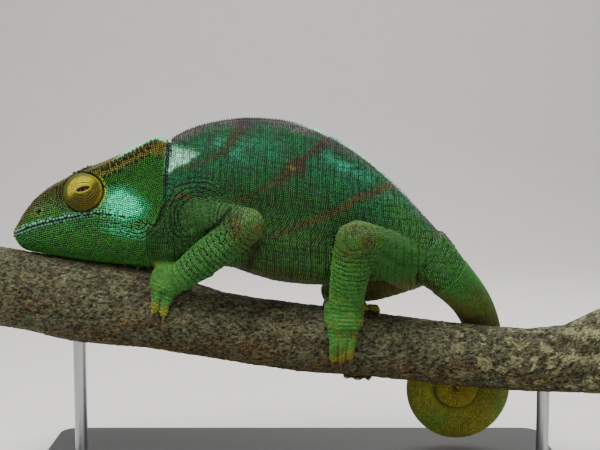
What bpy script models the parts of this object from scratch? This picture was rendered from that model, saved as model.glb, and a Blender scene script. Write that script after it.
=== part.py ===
"""Adult female Parson's chameleon lying along a branch, as a life-size display model on a plain stand.

+Z is up and +X runs from the snout to the tail. The animal's left side faces -Y. The origin is on the
surface that the stand rests on, under the middle of the stand. Sizes are in millimetres, and become
metres as each mesh is made.
"""

import math

import bmesh
import bpy
import numpy as np
from mathutils import Matrix, Vector

MM = 0.001
GAP = 0.3  # clearance between two pieces that touch
SIDES = {"left": -1, "right": 1}  # which way along Y each side of the animal lies
SIDE = Vector((0, 1, 0))

# Stand
BASE_LENGTH, BASE_DEPTH, BASE_THICKNESS = 330, 150, 11
BASE_CORNER, BASE_EDGE = 12, 1.5
ROD_RADIUS = 4
ROD_PLACES = {"stand_rod_front": -138, "stand_rod_back": 153}

# Perch: place along X, height of the centre line, radius
PERCH_HALF_LENGTH, PERCH_LENGTHS, PERCH_SIDES = 190, 16, 14
PERCH_STATIONS = [
    (-192, 123.3, 24.3),
    (-160, 117.6, 24.8),
    (-135, 112.4, 25.6),
    (-104, 109.9, 24.9),
    (-80, 105.2, 23.8),
    (-56, 98.9, 21.4),
    (0, 90.0, 21.2),
    (50, 84.9, 19.9),
    (114, 77.5, 19.6),
    (152, 75.6, 19.8),
    (174, 77.4, 22.0),
    (192, 82.0, 27.5),
]

# Neck and trunk, as ribs from the back line to the belly line: back (x, z), belly (x, z), half width
RIBS = [
    ((-94, 203), (-104, 137), 15.0),
    ((-84, 210), (-93, 133.5), 16.0),
    ((-76, 215.5), (-82, 132.5), 16.5),
    ((-67, 220), (-70, 133), 18.0),
    ((-57, 223), (-58, 134.5), 20.0),
    ((-44, 225.5), (-42, 134), 22.5),
    ((-30, 226.6), (-24, 127.5), 25.0),
    ((-14, 225.6), (-9, 124.5), 26.5),
    ((2, 222.3), (5, 123.2), 26.5),
    ((17, 216), (17, 122.8), 25.5),
    ((32, 207.7), (28, 123.6), 23.5),
    ((47.6, 195.8), (38, 125), 21.0),
    ((61.4, 182.8), (49, 125.6), 18.6),
    ((75.3, 167.4), (62, 125), 16.4),
    ((87.4, 154.7), (73, 123.4), 14.2),
    ((99.5, 142.4), (83, 118.8), 12.8),
]
RIB_SHAPE = 0.34  # how much narrower the back is than the belly
NECK_PLANE = (Vector((-83.5, 0, 180)), Vector((0.992, 0, -0.124)))
SHOULDER_PLANE = (Vector((-67, 0, 175)), Vector((1, 0, 0)))
TAIL_PLANE = (Vector((76, 0, 140)), Vector((0.86, 0, -0.51)))

# Tail from its base over the perch's far edge: x, y, z, half height, half width
TAIL_DROP = [
    (76.5, 0, 142.5, 19.0, 14.0),
    (84, 0.5, 136.5, 16.8, 13.2),
    (94, 2, 127, 14.2, 12.2),
    (103, 6, 117.5, 12.8, 11.3),
    (110, 13, 108, 12.2, 10.8),
    (116.5, 26, 96, 11.8, 10.4),
    (122, 31.5, 81, 11.0, 9.8),
    (128, 31.8, 65, 10.0, 9.3),
]
# Tail coil on the perch's far side: turn in degrees, distance from the coil's centre, half height, half width,
# and how far it has moved towards the perch
COIL_CENTRE = Vector((101.5, 31.5, 52))
COIL = [
    (0, 25.9, 10.05, 9.2, 0),
    (90, 24.9, 10.5, 9.0, 0),
    (180, 22.7, 8.75, 8.2, 0),
    (230, 20.9, 8.2, 7.8, 0.1),
    (270, 18.6, 7.4, 7.2, 0.4),
    (300, 14.6, 6.8, 6.8, 0.9),
    (337, 10.3, 6.0, 6.2, 1.7),
    (360, 9.7, 5.9, 5.8, 2.3),
    (450, 8.9, 5.3, 5.2, 3.4),
    (540, 8.95, 4.5, 4.4, 3.6),
    (580, 7.9, 4.1, 4.1, 3.5),
    (605, 6.5, 3.8, 3.7, 3.4),
    (632, 4.5, 3.2, 3.1, 3.2),
    (652, 2.3, 2.75, 2.9, 3.1),
    (672, 0.5, 2.85, 2.9, 3.0),
    (690, -0.8, 2.75, 2.8, 3.0),
]

# First and last station of each length of tail
TAIL_LENGTHS = {
    "tail_base": (0, 6),
    "tail_drop": (6, 13),
    "tail_coil_lower": (13, 21),
    "tail_coil_upper": (21, 29),
    "tail_coil_inner": (29, 37),
    "tail_tip": (37, 46),
}
TAIL_SIDES = 11

# Head curves along X, before it is rolled towards its left side
HEAD_ROLL, HEAD_ROLL_HEIGHT = 6.0, 160
HEAD_STATIONS = [
    # x, crest height, crest half width, cheek height, cheek half width, chin height, jaw half width
    (-177.0, 157.0, 1.6, 155.6, 2.2, 153.2, 1.6),
    (-175.2, 160.6, 3.6, 156.6, 5.2, 149.2, 4.0),
    (-171.0, 166.8, 5.2, 159.0, 8.4, 145.4, 6.4),
    (-164.5, 175.7, 6.2, 162.6, 10.8, 143.7, 8.6),
    (-157.0, 182.4, 6.8, 165.0, 12.8, 142.4, 10.4),
    (-150.0, 186.4, 7.8, 166.6, 14.2, 141.0, 11.8),
    (-142.0, 190.6, 9.6, 168.2, 15.6, 139.6, 13.0),
    (-134.0, 194.6, 11.0, 169.6, 17.0, 138.3, 14.0),
    (-126.0, 197.1, 11.4, 170.4, 18.4, 137.3, 15.0),
    (-117.0, 200.7, 11.2, 170.0, 19.8, 136.4, 15.8),
    (-108.0, 205.1, 10.8, 168.0, 20.6, 135.8, 16.2),
    (-100.0, 209.2, 10.0, 165.0, 20.6, 135.1, 16.2),
    (-93.0, 212.6, 8.6, 163.0, 19.4, 134.0, 15.8),
    (-87.5, 214.8, 6.8, 162.0, 17.8, 133.2, 15.4),
    (-84.0, 214.4, 5.2, 161.6, 16.6, 133.0, 15.0),
    (-78.0, 209.0, 4.4, 161.2, 15.6, 133.0, 14.6),
]
HEAD_RINGS = 20
CREST_HOLLOW = 1.6  # how far the crown sinks between the crests
TEMPLE_TUCK = 0.80  # temple width as a share of the line from crest to cheek
SNOUT_TUCK = 0.98
MOUTH_LINE = [
    (-188, 153),
    (-176, 156),
    (-166, 161),
    (-157, 164),
    (-142, 168),
    (-124, 171.6),
    (-109, 170.4),
    (-97, 167),
]
JAW_REAR = [(-93.5, 160), (-96, 148), (-97, 118), (-188, 118)]

# Eyes, in the head before it is rolled
EYE_PLACE = (-131.2, 10.6, 183.2)
TURRET_RADIUS, TURRET_DEPTH = 11.8, 6.6
EYEBALL_RADIUS, EYEBALL_DEPTH = 6.0, 4.4
APERTURE_LENGTH, APERTURE_HEIGHT, APERTURE_TILT = 8.6, 2.9, 15
GAZE_UP = 19

# Limbs: joint places, then half heights and half widths at the start, middle and end of each length
ARM = {
    "left": {"shoulder": (-63, -12, 168), "elbow": (-29.5, -38, 165.0), "wrist": (-70.5, -24, 132.5)},
    "right": {"shoulder": (-63, 12, 166), "elbow": (-63, 37, 131), "wrist": (-91, 36, 125)},
}
LEG = {
    "left": {"hip": (70, -5, 134), "knee": (32.5, -35.5, 156.5), "ankle": (28.5, -20.5, 120.5)},
    "right": {"hip": (69, 4, 134), "knee": (24.5, 41, 114), "ankle": (42, 35, 85)},
}
UPPER_ARM_SIZES = [(12.5, 9.5), (11.0, 9.0), (10.2, 8.6)]
FOREARM_SIZES = [(10.6, 8.8), (11.4, 9.0), (9.2, 8.0)]
THIGH_SIZES = [(15.0, 9.0), (15.2, 11.5), (11.4, 9.4)]
SHIN_SIZES = [(11.6, 9.6), (12.2, 9.6), (11.4, 8.8)]
LIMB_SIDES = 12

# Feet: palm place along X, turn round the perch from its top (far side positive), palm size, then each
# toe's X at the palm and at its tip, and its turn at the tip. The first list of toes is the outer one.
FEET = {
    "forefoot_left": {
        "limb": "left",
        "palm": (-80.5, -36, 13.0, 9.0),
        "outer": [(-84.5, -88.6, -80), (-77.5, -82.0, -82)],
        "inner": [(-85, -84, 36), (-79, -77, 40), (-73, -70, 36)],
    },
    "forefoot_right": {
        "limb": "right",
        "palm": (-101, 70, 13.0, 9.0),
        "outer": [(-103.5, -114.5, 154), (-96, -105, 156)],
        "inner": [(-106.5, -107.5, -3), (-100.5, -100, -8), (-95, -92.5, -5)],
    },
    "hindfoot_left": {
        "limb": "left",
        "palm": (26.8, -40, 15.0, 9.5),
        "outer": [(18.8, 20.0, -109), (26.6, 25.2, -110), (34.6, 30.4, -103)],
        "inner": [(21.5, 15.5, 42), (30.0, 25.0, 46)],
    },
    "hindfoot_right": {
        "limb": "right",
        "palm": (39.5, 97, 15.0, 9.5),
        "outer": [(31.5, 29.5, 172), (39.5, 36.5, 176), (47.5, 43.5, 172)],
        "inner": [(35, 39, -4), (44, 48, -8)],
    },
}
TOE_PALM_RADIUS, TOE_TIP_RADIUS = 4.7, 2.6
CLAW_LENGTH, CLAW_RADIUS, CLAW_TIP_RADIUS = 3.8, 1.35, 0.3
FOOT_ROOM = 1.4  # how much wider than the toes the room pressed into the throat is
CLAW_ROOT = 2.2  # length of claw held inside the toe
FOOT_VOXEL, FOOT_FACES = 0.95, 276

# Colour, roughness and metallic value of each material
MATERIALS = {
    "green skin": ((0.07, 0.26, 0.11), 0.6, 0.0),
    "limb skin": ((0.11, 0.27, 0.08), 0.6, 0.0),
    "tail skin": ((0.17, 0.22, 0.05), 0.6, 0.0),
    "eyelid skin": ((0.36, 0.31, 0.05), 0.6, 0.0),
    "eye": ((0.02, 0.015, 0.01), 0.1, 0.0),
    "claw horn": ((0.20, 0.15, 0.10), 0.4, 0.0),
    "bark": ((0.21, 0.18, 0.13), 0.9, 0.0),
    "stand paint": ((0.42, 0.40, 0.37), 0.5, 0.0),
    "stand steel": ((0.55, 0.55, 0.55), 0.35, 1.0),
}


class Profile:
    """A smooth curve through stations. The first number of each says where, the rest are the sizes there."""

    def __init__(self, stations):
        table = np.array(stations, float)
        self.where, self.sizes = table[:, 0], table[:, 1:]
        self.slopes = np.gradient(self.sizes, self.where, axis=0)

    def __call__(self, at):
        i = int(np.clip(np.searchsorted(self.where, at) - 1, 0, len(self.where) - 2))
        span = self.where[i + 1] - self.where[i]
        t = min(max((at - self.where[i]) / span, 0), 1)
        return (
            (1 + 2 * t) * (1 - t) ** 2 * self.sizes[i]
            + t * (1 - t) ** 2 * span * self.slopes[i]
            + t * t * (3 - 2 * t) * self.sizes[i + 1]
            + t * t * (t - 1) * span * self.slopes[i + 1]
        )


PERCH_RINGS = np.linspace(-PERCH_HALF_LENGTH, PERCH_HALF_LENGTH, PERCH_LENGTHS + 1)
PERCH_SIZES = np.array([Profile(PERCH_STATIONS)(x) for x in PERCH_RINGS])


def perch_at(x):
    """Height of the perch's centre line and its radius at x, straight between its rings."""
    return np.interp(x, PERCH_RINGS, PERCH_SIZES[:, 0]), np.interp(x, PERCH_RINGS, PERCH_SIZES[:, 1])



def material(name):
    found = bpy.data.materials.get(name)
    if found is None:
        colour, roughness, metallic = MATERIALS[name]
        found = bpy.data.materials.new(name)
        found.use_nodes = True
        shader = found.node_tree.nodes["Principled BSDF"]
        shader.inputs["Base Color"].default_value = (*colour, 1)
        shader.inputs["Roughness"].default_value = roughness
        shader.inputs["Metallic"].default_value = metallic
        found.diffuse_color = (*colour, 1)
    return found


def make_object(name, shape, material_name):
    """Puts a bmesh into the scene as a named object, with its faces pointing out, in metres."""
    bmesh.ops.recalc_face_normals(shape, faces=shape.faces)
    bmesh.ops.scale(shape, vec=(MM, MM, MM), verts=shape.verts)
    mesh = bpy.data.meshes.new(name)
    shape.to_mesh(mesh)
    shape.free()
    made = bpy.data.objects.new(name, mesh)
    bpy.context.scene.collection.objects.link(made)
    mesh.materials.append(material(material_name))
    mesh.shade_smooth()
    mesh.set_sharp_from_angle(angle=math.radians(50))
    return made


def loft(name, rings, material_name):
    """A closed skin over rings of points, with flat ends."""
    shape = bmesh.new()
    loops = [[shape.verts.new(point) for point in ring] for ring in rings]
    count = len(loops[0])
    for first, second in zip(loops, loops[1:]):
        for i in range(count):
            j = (i + 1) % count
            shape.faces.new((first[i], first[j], second[j], second[i]))
    shape.faces.new(loops[0])
    shape.faces.new(loops[-1])
    return make_object(name, shape, material_name)


def oval(centre, tall, wide, sides, egg=0.0):
    """A ring of points about centre. tall and wide are its half axes as vectors."""
    ring = []
    for i in range(sides):
        turn = 2 * math.pi * (i + 0.5) / sides
        up = math.sin(turn)
        ring.append(centre + tall * up + wide * math.cos(turn) * (1 - egg * up))
    return ring


def sweep(name, stations, sides, material_name, side=SIDE, rounded=(False, False), before=None, after=None):
    """A tube through stations of (centre, half height, half width), each end flat or rounded.

    A station before or after the run is one that the next length starts from. The end there stops half a
    gap short, square to the run.
    """
    whole = [s for s in (before, *stations, after) if s is not None]
    skip = 0 if before is None else 1
    rings = []
    for i, (centre, tall, wide) in enumerate(stations):
        at = i + skip
        along = (whole[min(at + 1, len(whole) - 1)][0] - whole[max(at - 1, 0)][0]).normalized()
        if i == 0 and before is not None:
            centre = centre + along * GAP / 2
        if i == len(stations) - 1 and after is not None:
            centre = centre - along * GAP / 2
        across = side(centre) if callable(side) else side
        up = along.cross(across).normalized()
        out = up.cross(along)
        dome = []
        for lift in (28, 58):
            reach = along * (tall + wide) / 2 * math.sin(math.radians(lift))
            shrink = math.cos(math.radians(lift))
            sign = -1 if i == 0 else 1
            dome.append(oval(centre + reach * sign, up * tall * shrink, out * wide * shrink, sides))
        if i == 0 and rounded[0]:
            rings += reversed(dome)
        rings.append(oval(centre, up * tall, out * wide, sides))
        if i == len(stations) - 1 and rounded[1]:
            rings += dome
    return loft(name, rings, material_name)


def settle(piece):
    """Applies a piece's modifiers."""
    bpy.context.view_layer.update()
    evaluated = piece.evaluated_get(bpy.context.evaluated_depsgraph_get())
    mesh = bpy.data.meshes.new_from_object(evaluated)
    piece.modifiers.clear()
    piece.data = mesh
    return piece


def drop(*pieces):
    for piece in pieces:
        bpy.data.objects.remove(piece)


def combine(piece, other, operation):
    """Joins other to piece or cuts it away, and removes other."""
    modifier = piece.modifiers.new(operation, "BOOLEAN")
    modifier.operation = operation
    modifier.object = other
    settle(piece)
    drop(other)
    return piece


def clip(piece, plane, keep):
    """Cuts a piece flat at a plane, half a gap short of it.

    keep is -1 for the side behind the plane's normal, and 1 for the other.
    """
    point, normal = plane
    normal = Vector(normal).normalized()
    shape = bmesh.new()
    shape.from_mesh(piece.data)
    cut = bmesh.ops.bisect_plane(
        shape,
        geom=[*shape.verts, *shape.edges, *shape.faces],
        dist=1e-9,
        plane_co=(Vector(point) + normal * keep * GAP / 2) * MM,
        plane_no=normal * -keep,
        clear_outer=True,
    )
    rim = [e for e in cut["geom_cut"] if isinstance(e, bmesh.types.BMEdge)]
    bmesh.ops.holes_fill(shape, edges=rim, sides=0)
    bmesh.ops.recalc_face_normals(shape, faces=shape.faces)
    shape.to_mesh(piece.data)
    shape.free()
    return piece


def grown(piece, by):
    """A copy of a piece with its surface moved out."""
    copy = piece.copy()
    copy.data = piece.data.copy()
    bpy.context.scene.collection.objects.link(copy)
    modifier = copy.modifiers.new("grow", "DISPLACE")
    modifier.strength = by * MM
    modifier.mid_level = 0
    return settle(copy)


def keep_clear(piece, *others):
    """Cuts from a piece whatever would come within a gap of the others."""
    for other in others:
        combine(piece, grown(other, GAP * 1.4), "DIFFERENCE")
    return piece


def perch(name, grow=0.0):
    rings = []
    for x, (height, radius) in zip(PERCH_RINGS, PERCH_SIZES):
        up, out = Vector((0, 0, radius + grow)), SIDE * (radius + grow)
        rings.append(oval(Vector((x, 0, height)), up, out, PERCH_SIDES))
    return loft(name, rings, "bark")


def on_perch(x, turn, out):
    """The point that is out above the perch's skin, turned from its top towards the far side."""
    height, radius = perch_at(x)
    angle = math.radians(turn)
    return Vector((x, (radius + out) * math.sin(angle), height + (radius + out) * math.cos(angle)))


def from_perch(point):
    """The direction straight out of the perch at a point."""
    height, _ = perch_at(point.x)
    return Vector((0, point.y, point.z - height)).normalized()


def torso(name, grow=0.0, sides=20):
    """Neck and trunk in one, from inside the head to the tail's base."""
    table = [(i, *back, *belly, half) for i, (back, belly, half) in enumerate(RIBS)]
    ribs, rings = Profile(table), []
    for at in np.linspace(0, len(RIBS) - 1, 22):
        back_x, back_z, belly_x, belly_z, half = ribs(at)
        back, belly = Vector((back_x, 0, back_z)), Vector((belly_x, 0, belly_z))
        tall = (back - belly) / 2
        tall += tall.normalized() * grow
        rings.append(oval((back + belly) / 2, tall, SIDE * (half + grow), sides, RIB_SHAPE))
    return loft(name, rings, "green skin")


def tail_run():
    """Stations of the whole tail as (centre, half height, half width), and where each length starts."""
    drop_run = Profile([(i, *s) for i, s in enumerate(TAIL_DROP)])
    coil_run = Profile(COIL)
    stations = [drop_run(at) for at in np.linspace(0, len(TAIL_DROP) - 1, 13)]
    for turn in np.linspace(0, COIL[-1][0], 35)[1:]:
        reach, tall, wide, nearer = coil_run(turn)
        angle = math.radians(turn)
        centre = COIL_CENTRE + Vector((math.cos(angle), 0, -math.sin(angle))) * reach - SIDE * nearer
        stations.append((*centre, tall, wide))
    return [(Vector(s[:3]), s[3], s[4]) for s in stations]


def build_tail():
    run = tail_run()
    for name, (first, last) in TAIL_LENGTHS.items():
        last = min(last, len(run) - 1)
        piece = sweep(
            name,
            run[first : last + 1],
            TAIL_SIDES,
            "tail skin",
            rounded=(False, name == "tail_tip"),
            before=run[first - 1] if first else None,
            after=run[last + 1] if last < len(run) - 1 else None,
        )
        if name == "tail_base":
            clip(piece, TAIL_PLANE, 1)


def closed_curve(corners, steps):
    """Points of a smooth closed curve through corners."""
    points, count = [], len(corners)
    for i in range(count):
        a, b, c, d = (corners[(i + k) % count] for k in (-1, 0, 1, 2))
        for step in range(steps):
            t = step / steps
            points.append(
                (b * 2 + (c - a) * t + (a * 2 - b * 5 + c * 4 - d) * t * t + (b * 3 - a - c * 3 + d) * t**3) / 2
            )
    return points


def head_to_world():
    pivot = Matrix.Translation((0, 0, HEAD_ROLL_HEIGHT))
    return pivot @ Matrix.Rotation(math.radians(HEAD_ROLL), 4, "X") @ pivot.inverted()


def head_section(x, sizes):
    """The ring round the head at x: crown, crest, temple, cheek, jaw and chin."""
    crest_z, crest_y, cheek_z, cheek_y, chin_z, jaw_y = sizes
    tuck = SNOUT_TUCK if crest_z < 180 else TEMPLE_TUCK
    half = [
        (0, crest_z - CREST_HOLLOW * min(crest_y / 8, 1)),
        (crest_y, crest_z),
        ((crest_y + cheek_y) / 2 * tuck, crest_z * 0.55 + cheek_z * 0.45),
        (cheek_y, cheek_z),
        ((cheek_y + jaw_y) / 2, cheek_z * 0.5 + chin_z * 0.5),
        (jaw_y * 0.72, chin_z * 0.88 + cheek_z * 0.12),
        (0, chin_z),
    ]
    corners = [Vector((x, -y, z)) for y, z in half]
    corners += [Vector((x, y, z)) for y, z in reversed(half[1:-1])]
    return closed_curve(corners, 2)


def prism(name, outline, half_depth, material_name):
    """An outline in the XZ plane drawn out along Y."""
    rings = [[Vector((x, y, z)) for x, z in outline] for y in (-half_depth, half_depth)]
    return loft(name, rings, material_name)


def ball(name, centre, radius, material_name, sides=14):
    shape = bmesh.new()
    bmesh.ops.create_uvsphere(shape, u_segments=sides, v_segments=sides // 2 + 1, radius=radius)
    bmesh.ops.rotate(shape, matrix=Matrix.Rotation(math.pi / 2, 3, "X"), verts=shape.verts)
    bmesh.ops.translate(shape, vec=centre, verts=shape.verts)
    return make_object(name, shape, material_name)


def eye_turret(name, side, grow=0.0):
    """The lids' dome, flat where it sits in the head."""
    x, y, z = EYE_PLACE
    dome = ball(name, Vector((x, y * side, z)), TURRET_RADIUS + grow, "eyelid skin")
    plane = (Vector((0, (TURRET_DEPTH - grow) * side, 0)), Vector((0, side, 0)))
    return clip(dome, plane, 1)


def gaze(side):
    """Which way the eye on this side looks."""
    return Vector((0, side * math.cos(math.radians(GAZE_UP)), math.sin(math.radians(GAZE_UP))))


def eyeball(name, side, grow=0.0):
    x, y, z = EYE_PLACE
    centre = Vector((x, y * side, z)) + gaze(side) * EYEBALL_DEPTH
    return ball(name, centre, EYEBALL_RADIUS + grow, "eye", 12)


def aperture(side):
    """The cutter for the slit between the lids."""
    x, y, z = EYE_PLACE
    look = gaze(side)
    tilt = math.radians(APERTURE_TILT)
    level = Vector((1, 0, 0))
    upright = level.cross(look) * side
    long_way = level * math.cos(tilt) + upright * math.sin(tilt)
    short_way = look.cross(long_way)
    start = Vector((x, y * side, z)) + look * (EYEBALL_DEPTH + 3)
    rings = [
        oval(start + look * reach, long_way * APERTURE_LENGTH / 2, short_way * APERTURE_HEIGHT / 2, 12)
        for reach in (0, 14)
    ]
    return loft("aperture", rings, "eye")


def build_head():
    """Head, lower jaw, and on each side an eye and its turret, rolled a little to the left together."""
    curves = Profile(HEAD_STATIONS)
    places = np.interp(np.linspace(0, 1, HEAD_RINGS), np.linspace(0, 1, len(HEAD_STATIONS)), curves.where)
    rings = [head_section(x, curves(x)) for x in places]
    head = loft("head", rings, "green skin")
    pieces = [head]
    for word, side in SIDES.items():
        combine(head, eye_turret("socket", side, GAP), "DIFFERENCE")
        turret = eye_turret(f"eye_turret_{word}", side)
        combine(turret, eyeball("orbit", side, GAP), "DIFFERENCE")
        combine(turret, aperture(side), "DIFFERENCE")
        pieces += [turret, eyeball(f"eye_{word}", side)]
    outline = MOUTH_LINE + JAW_REAR
    jaw = grown(head, 0)
    jaw.name = "lower_jaw"
    combine(jaw, prism("jaw region", outline, 60, "green skin"), "INTERSECT")
    combine(head, grown(prism("jaw room", outline, 60, "green skin"), GAP), "DIFFERENCE")
    drop(bpy.data.objects["jaw room"])
    for piece in [*pieces, jaw]:
        piece.data.transform(Matrix.Scale(MM, 4) @ head_to_world() @ Matrix.Scale(1 / MM, 4))
    clip(head, NECK_PLANE, -1)
    clip(jaw, NECK_PLANE, -1)
    return head, jaw


def joint_plane(before, joint, after):
    """The plane that halves the bend of a limb at a joint, facing the limb's far end."""
    normal = (after - joint).normalized() - (before - joint).normalized()
    return joint, normal.normalized()


def limb_length(name, start, end, sizes, rounded):
    stations = []
    for at, (tall, wide) in zip((0, 0.5, 1), sizes):
        stations.append((at, tall, wide))
    curve = Profile(stations)
    run = [(start.lerp(end, at), *curve(at)) for at in np.linspace(0, 1, 5)]
    return sweep(name, run, LIMB_SIDES, "limb skin", rounded=rounded)


def build_limb(names, joints, sizes, body):
    """Two lengths of a limb, cut clear of the body at the root and from each other at the bend."""
    root, bend, end = (Vector(j) for j in joints)
    at_bend = joint_plane(root, bend, end)
    at_end = (end, (end - bend).normalized())
    upper = limb_length(names[0], root, bend, sizes[0], (True, True))
    clip(upper, at_bend, -1)
    lower = limb_length(names[1], bend, end, sizes[1], (True, True))
    clip(lower, at_bend, 1)
    clip(lower, at_end, -1)
    for piece in (upper, lower):
        combine(piece, torso("body room", GAP * 1.3), "DIFFERENCE")
    keep_clear(lower, body)
    return upper, lower, at_end


def fuse(name, lumps, voxel, faces, material_name):
    """Overlapping lumps made one smooth body with about that many faces."""
    shape = bmesh.new()
    for lump in lumps:
        shape.from_mesh(lump.data)
    bmesh.ops.scale(shape, vec=(1 / MM,) * 3, verts=shape.verts)
    drop(*lumps)
    body = make_object(name, shape, material_name)
    remesh = body.modifiers.new("blend", "REMESH")
    remesh.mode = "VOXEL"
    remesh.voxel_size = voxel * MM
    smooth = body.modifiers.new("smooth", "SMOOTH")
    smooth.factor, smooth.iterations = 0.5, 3
    settle(body)
    rest_on_perch(body)
    thin = body.modifiers.new("thin", "DECIMATE")
    thin.ratio = faces / (2 * len(body.data.polygons))
    settle(body)
    return rest_on_perch(body)


def rest_on_perch(piece, clear=GAP + 0.4):
    """Moves out to the perch's skin whatever part of a piece lies inside it."""
    shape = bmesh.new()
    shape.from_mesh(piece.data)
    for vert in shape.verts:
        point = vert.co / MM
        height, radius = perch_at(point.x)
        out = math.hypot(point.y, point.z - height)
        if out < radius + clear:
            vert.co += from_perch(point) * (radius + clear - out) * MM
    shape.to_mesh(piece.data)
    shape.free()
    return piece


def toe_run(palm, toe):
    """Centre line of a toe, from inside the palm round the perch to its tip."""
    palm_x, palm_turn = palm[0], palm[1]
    start_x, tip_x, tip_turn = toe
    run = []
    for at in np.linspace(0, 1, 8):
        radius = TOE_PALM_RADIUS + (TOE_TIP_RADIUS - TOE_PALM_RADIUS) * at
        x = palm_x * 0.3 + start_x * 0.7
        x += (tip_x - x) * at
        turn = palm_turn + (tip_turn - palm_turn) * at
        run.append((on_perch(x, turn, radius * 0.86 + 1.2 * (1 - at)), radius, radius))
    return run


def toe_web(palm, runs):
    """The skin that binds a bundle of toes into one mitten, from the palm almost to their tips."""
    stations, count = [], len(runs[0])
    for i in range(count - 1):
        share = i / (count - 1)
        first, last = runs[0][i][0], runs[-1][i][0]
        spread = (runs[-1][-1][0] - runs[0][-1][0]).length / 2 + TOE_TIP_RADIUS * 0.6
        half = palm[2] * 0.8 * (1 - share) + spread * share
        stations.append(((first + last) / 2, half, palm[3] * 0.48 * (1 - share) + TOE_TIP_RADIUS * 0.8 * share))
    return sweep("web", stations, 12, "limb skin", side=from_perch, rounded=(True, True))


def claw(name, run):
    """A curved horn claw that starts inside the toe and bends down to the bark."""
    tip, before = run[-1][0], run[-2][0]
    along = (tip - before).normalized()
    down = -from_perch(tip)
    stations = []
    for at in (0, 0.6, 1):
        reach = -CLAW_ROOT + (CLAW_LENGTH + CLAW_ROOT) * at
        radius = CLAW_RADIUS + (CLAW_TIP_RADIUS - CLAW_RADIUS) * at**1.2
        centre = tip + along * (TOE_TIP_RADIUS + reach) + down * 1.5 * at * at
        height, perch_radius = perch_at(centre.x)
        out = math.hypot(centre.y, centre.z - height) - perch_radius - radius - GAP
        if out < 0:
            centre += from_perch(centre) * -out
        stations.append((centre, radius, radius))
    return sweep(name, stations, 5, "claw horn", side=from_perch)


def build_foot(name, ankle_plane):
    """Palm and two opposed bundles of toes that hold the perch, with a claw on each toe.

    What comes back is the room they take up, piece by piece.
    """
    facts = FEET[name]
    x, turn, half_width, thickness = facts["palm"]
    ankle, along = ankle_plane
    heart = on_perch(x, turn, thickness * 0.62)
    outward = from_perch(heart)
    round_way = Vector((0, outward.z, -outward.y))
    wrist_sizes = FOREARM_SIZES[-1] if name.startswith("fore") else SHIN_SIZES[-1]
    lumps = [
        sweep(
            "ankle",
            [
                (ankle - along * 3, *wrist_sizes),
                (ankle + along * 2, *wrist_sizes),
                (ankle.lerp(heart, 0.55), wrist_sizes[0] * 0.95, wrist_sizes[1] * 0.95),
                (heart, half_width * 0.8, thickness * 0.8),
            ],
            14,
            "limb skin",
            rounded=(False, True),
        ),
        sweep(
            "palm",
            [
                (heart - round_way * thickness * 0.5, half_width * 0.86, thickness * 0.72),
                (heart + round_way * thickness * 0.5, half_width * 0.86, thickness * 0.72),
            ],
            14,
            "limb skin",
            side=outward,
            rounded=(True, True),
        ),
    ]
    claws = []
    for bundle in ("outer", "inner"):
        runs = [toe_run(facts["palm"], toe) for toe in facts[bundle]]
        lumps.append(toe_web(facts["palm"], runs))
        for number, run in enumerate(runs, 1):
            lumps.append(sweep("toe", run, 10, "limb skin", side=from_perch, rounded=(True, True)))
            claws.append(claw(f"claw_{name}_{bundle}_{number}", run))
    room = [grown(piece, FOOT_ROOM) for piece in lumps] + [grown(piece, GAP * 1.4) for piece in claws]
    foot = fuse(name, lumps, FOOT_VOXEL, FOOT_FACES, "limb skin")
    shin = [(ankle + along * reach, wrist_sizes[0] * 1.15, wrist_sizes[1] * 1.15) for reach in (-14, GAP / 2)]
    combine(foot, sweep("shin room", shin, 14, "limb skin"), "DIFFERENCE")
    for horn in claws:
        combine(foot, grown(horn, GAP * 1.2), "DIFFERENCE")
    return room


def rounded_plate(name, length, depth, thickness, material_name):
    shape = bmesh.new()
    bmesh.ops.create_cube(shape, size=1)
    bmesh.ops.scale(shape, vec=(length, depth, thickness), verts=shape.verts)
    bmesh.ops.translate(shape, vec=(0, 0, thickness / 2), verts=shape.verts)
    upright = [e for e in shape.edges if abs(e.verts[0].co.z - e.verts[1].co.z) > thickness / 2]
    bmesh.ops.bevel(shape, geom=upright, offset=BASE_CORNER, segments=5, profile=0.5, affect="EDGES")
    top = [e for e in shape.edges if min(v.co.z for v in e.verts) > thickness - 0.01]
    bmesh.ops.bevel(shape, geom=top, offset=BASE_EDGE, segments=2, profile=0.5, affect="EDGES")
    return make_object(name, shape, material_name)


def build_stand():
    rounded_plate("stand_base", BASE_LENGTH, BASE_DEPTH, BASE_THICKNESS, "stand paint")
    for name, x in ROD_PLACES.items():
        height, _ = perch_at(x)
        ends = [Vector((x, 0, z)) for z in (BASE_THICKNESS + GAP, height)]
        rings = [oval(c, Vector((ROD_RADIUS, 0, 0)), SIDE * ROD_RADIUS, 16) for c in ends]
        rod = loft(name, rings, "stand steel")
        combine(rod, perch("perch room", GAP), "DIFFERENCE")


def clear_scene():
    for piece in list(bpy.data.objects):
        bpy.data.objects.remove(piece)


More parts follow.
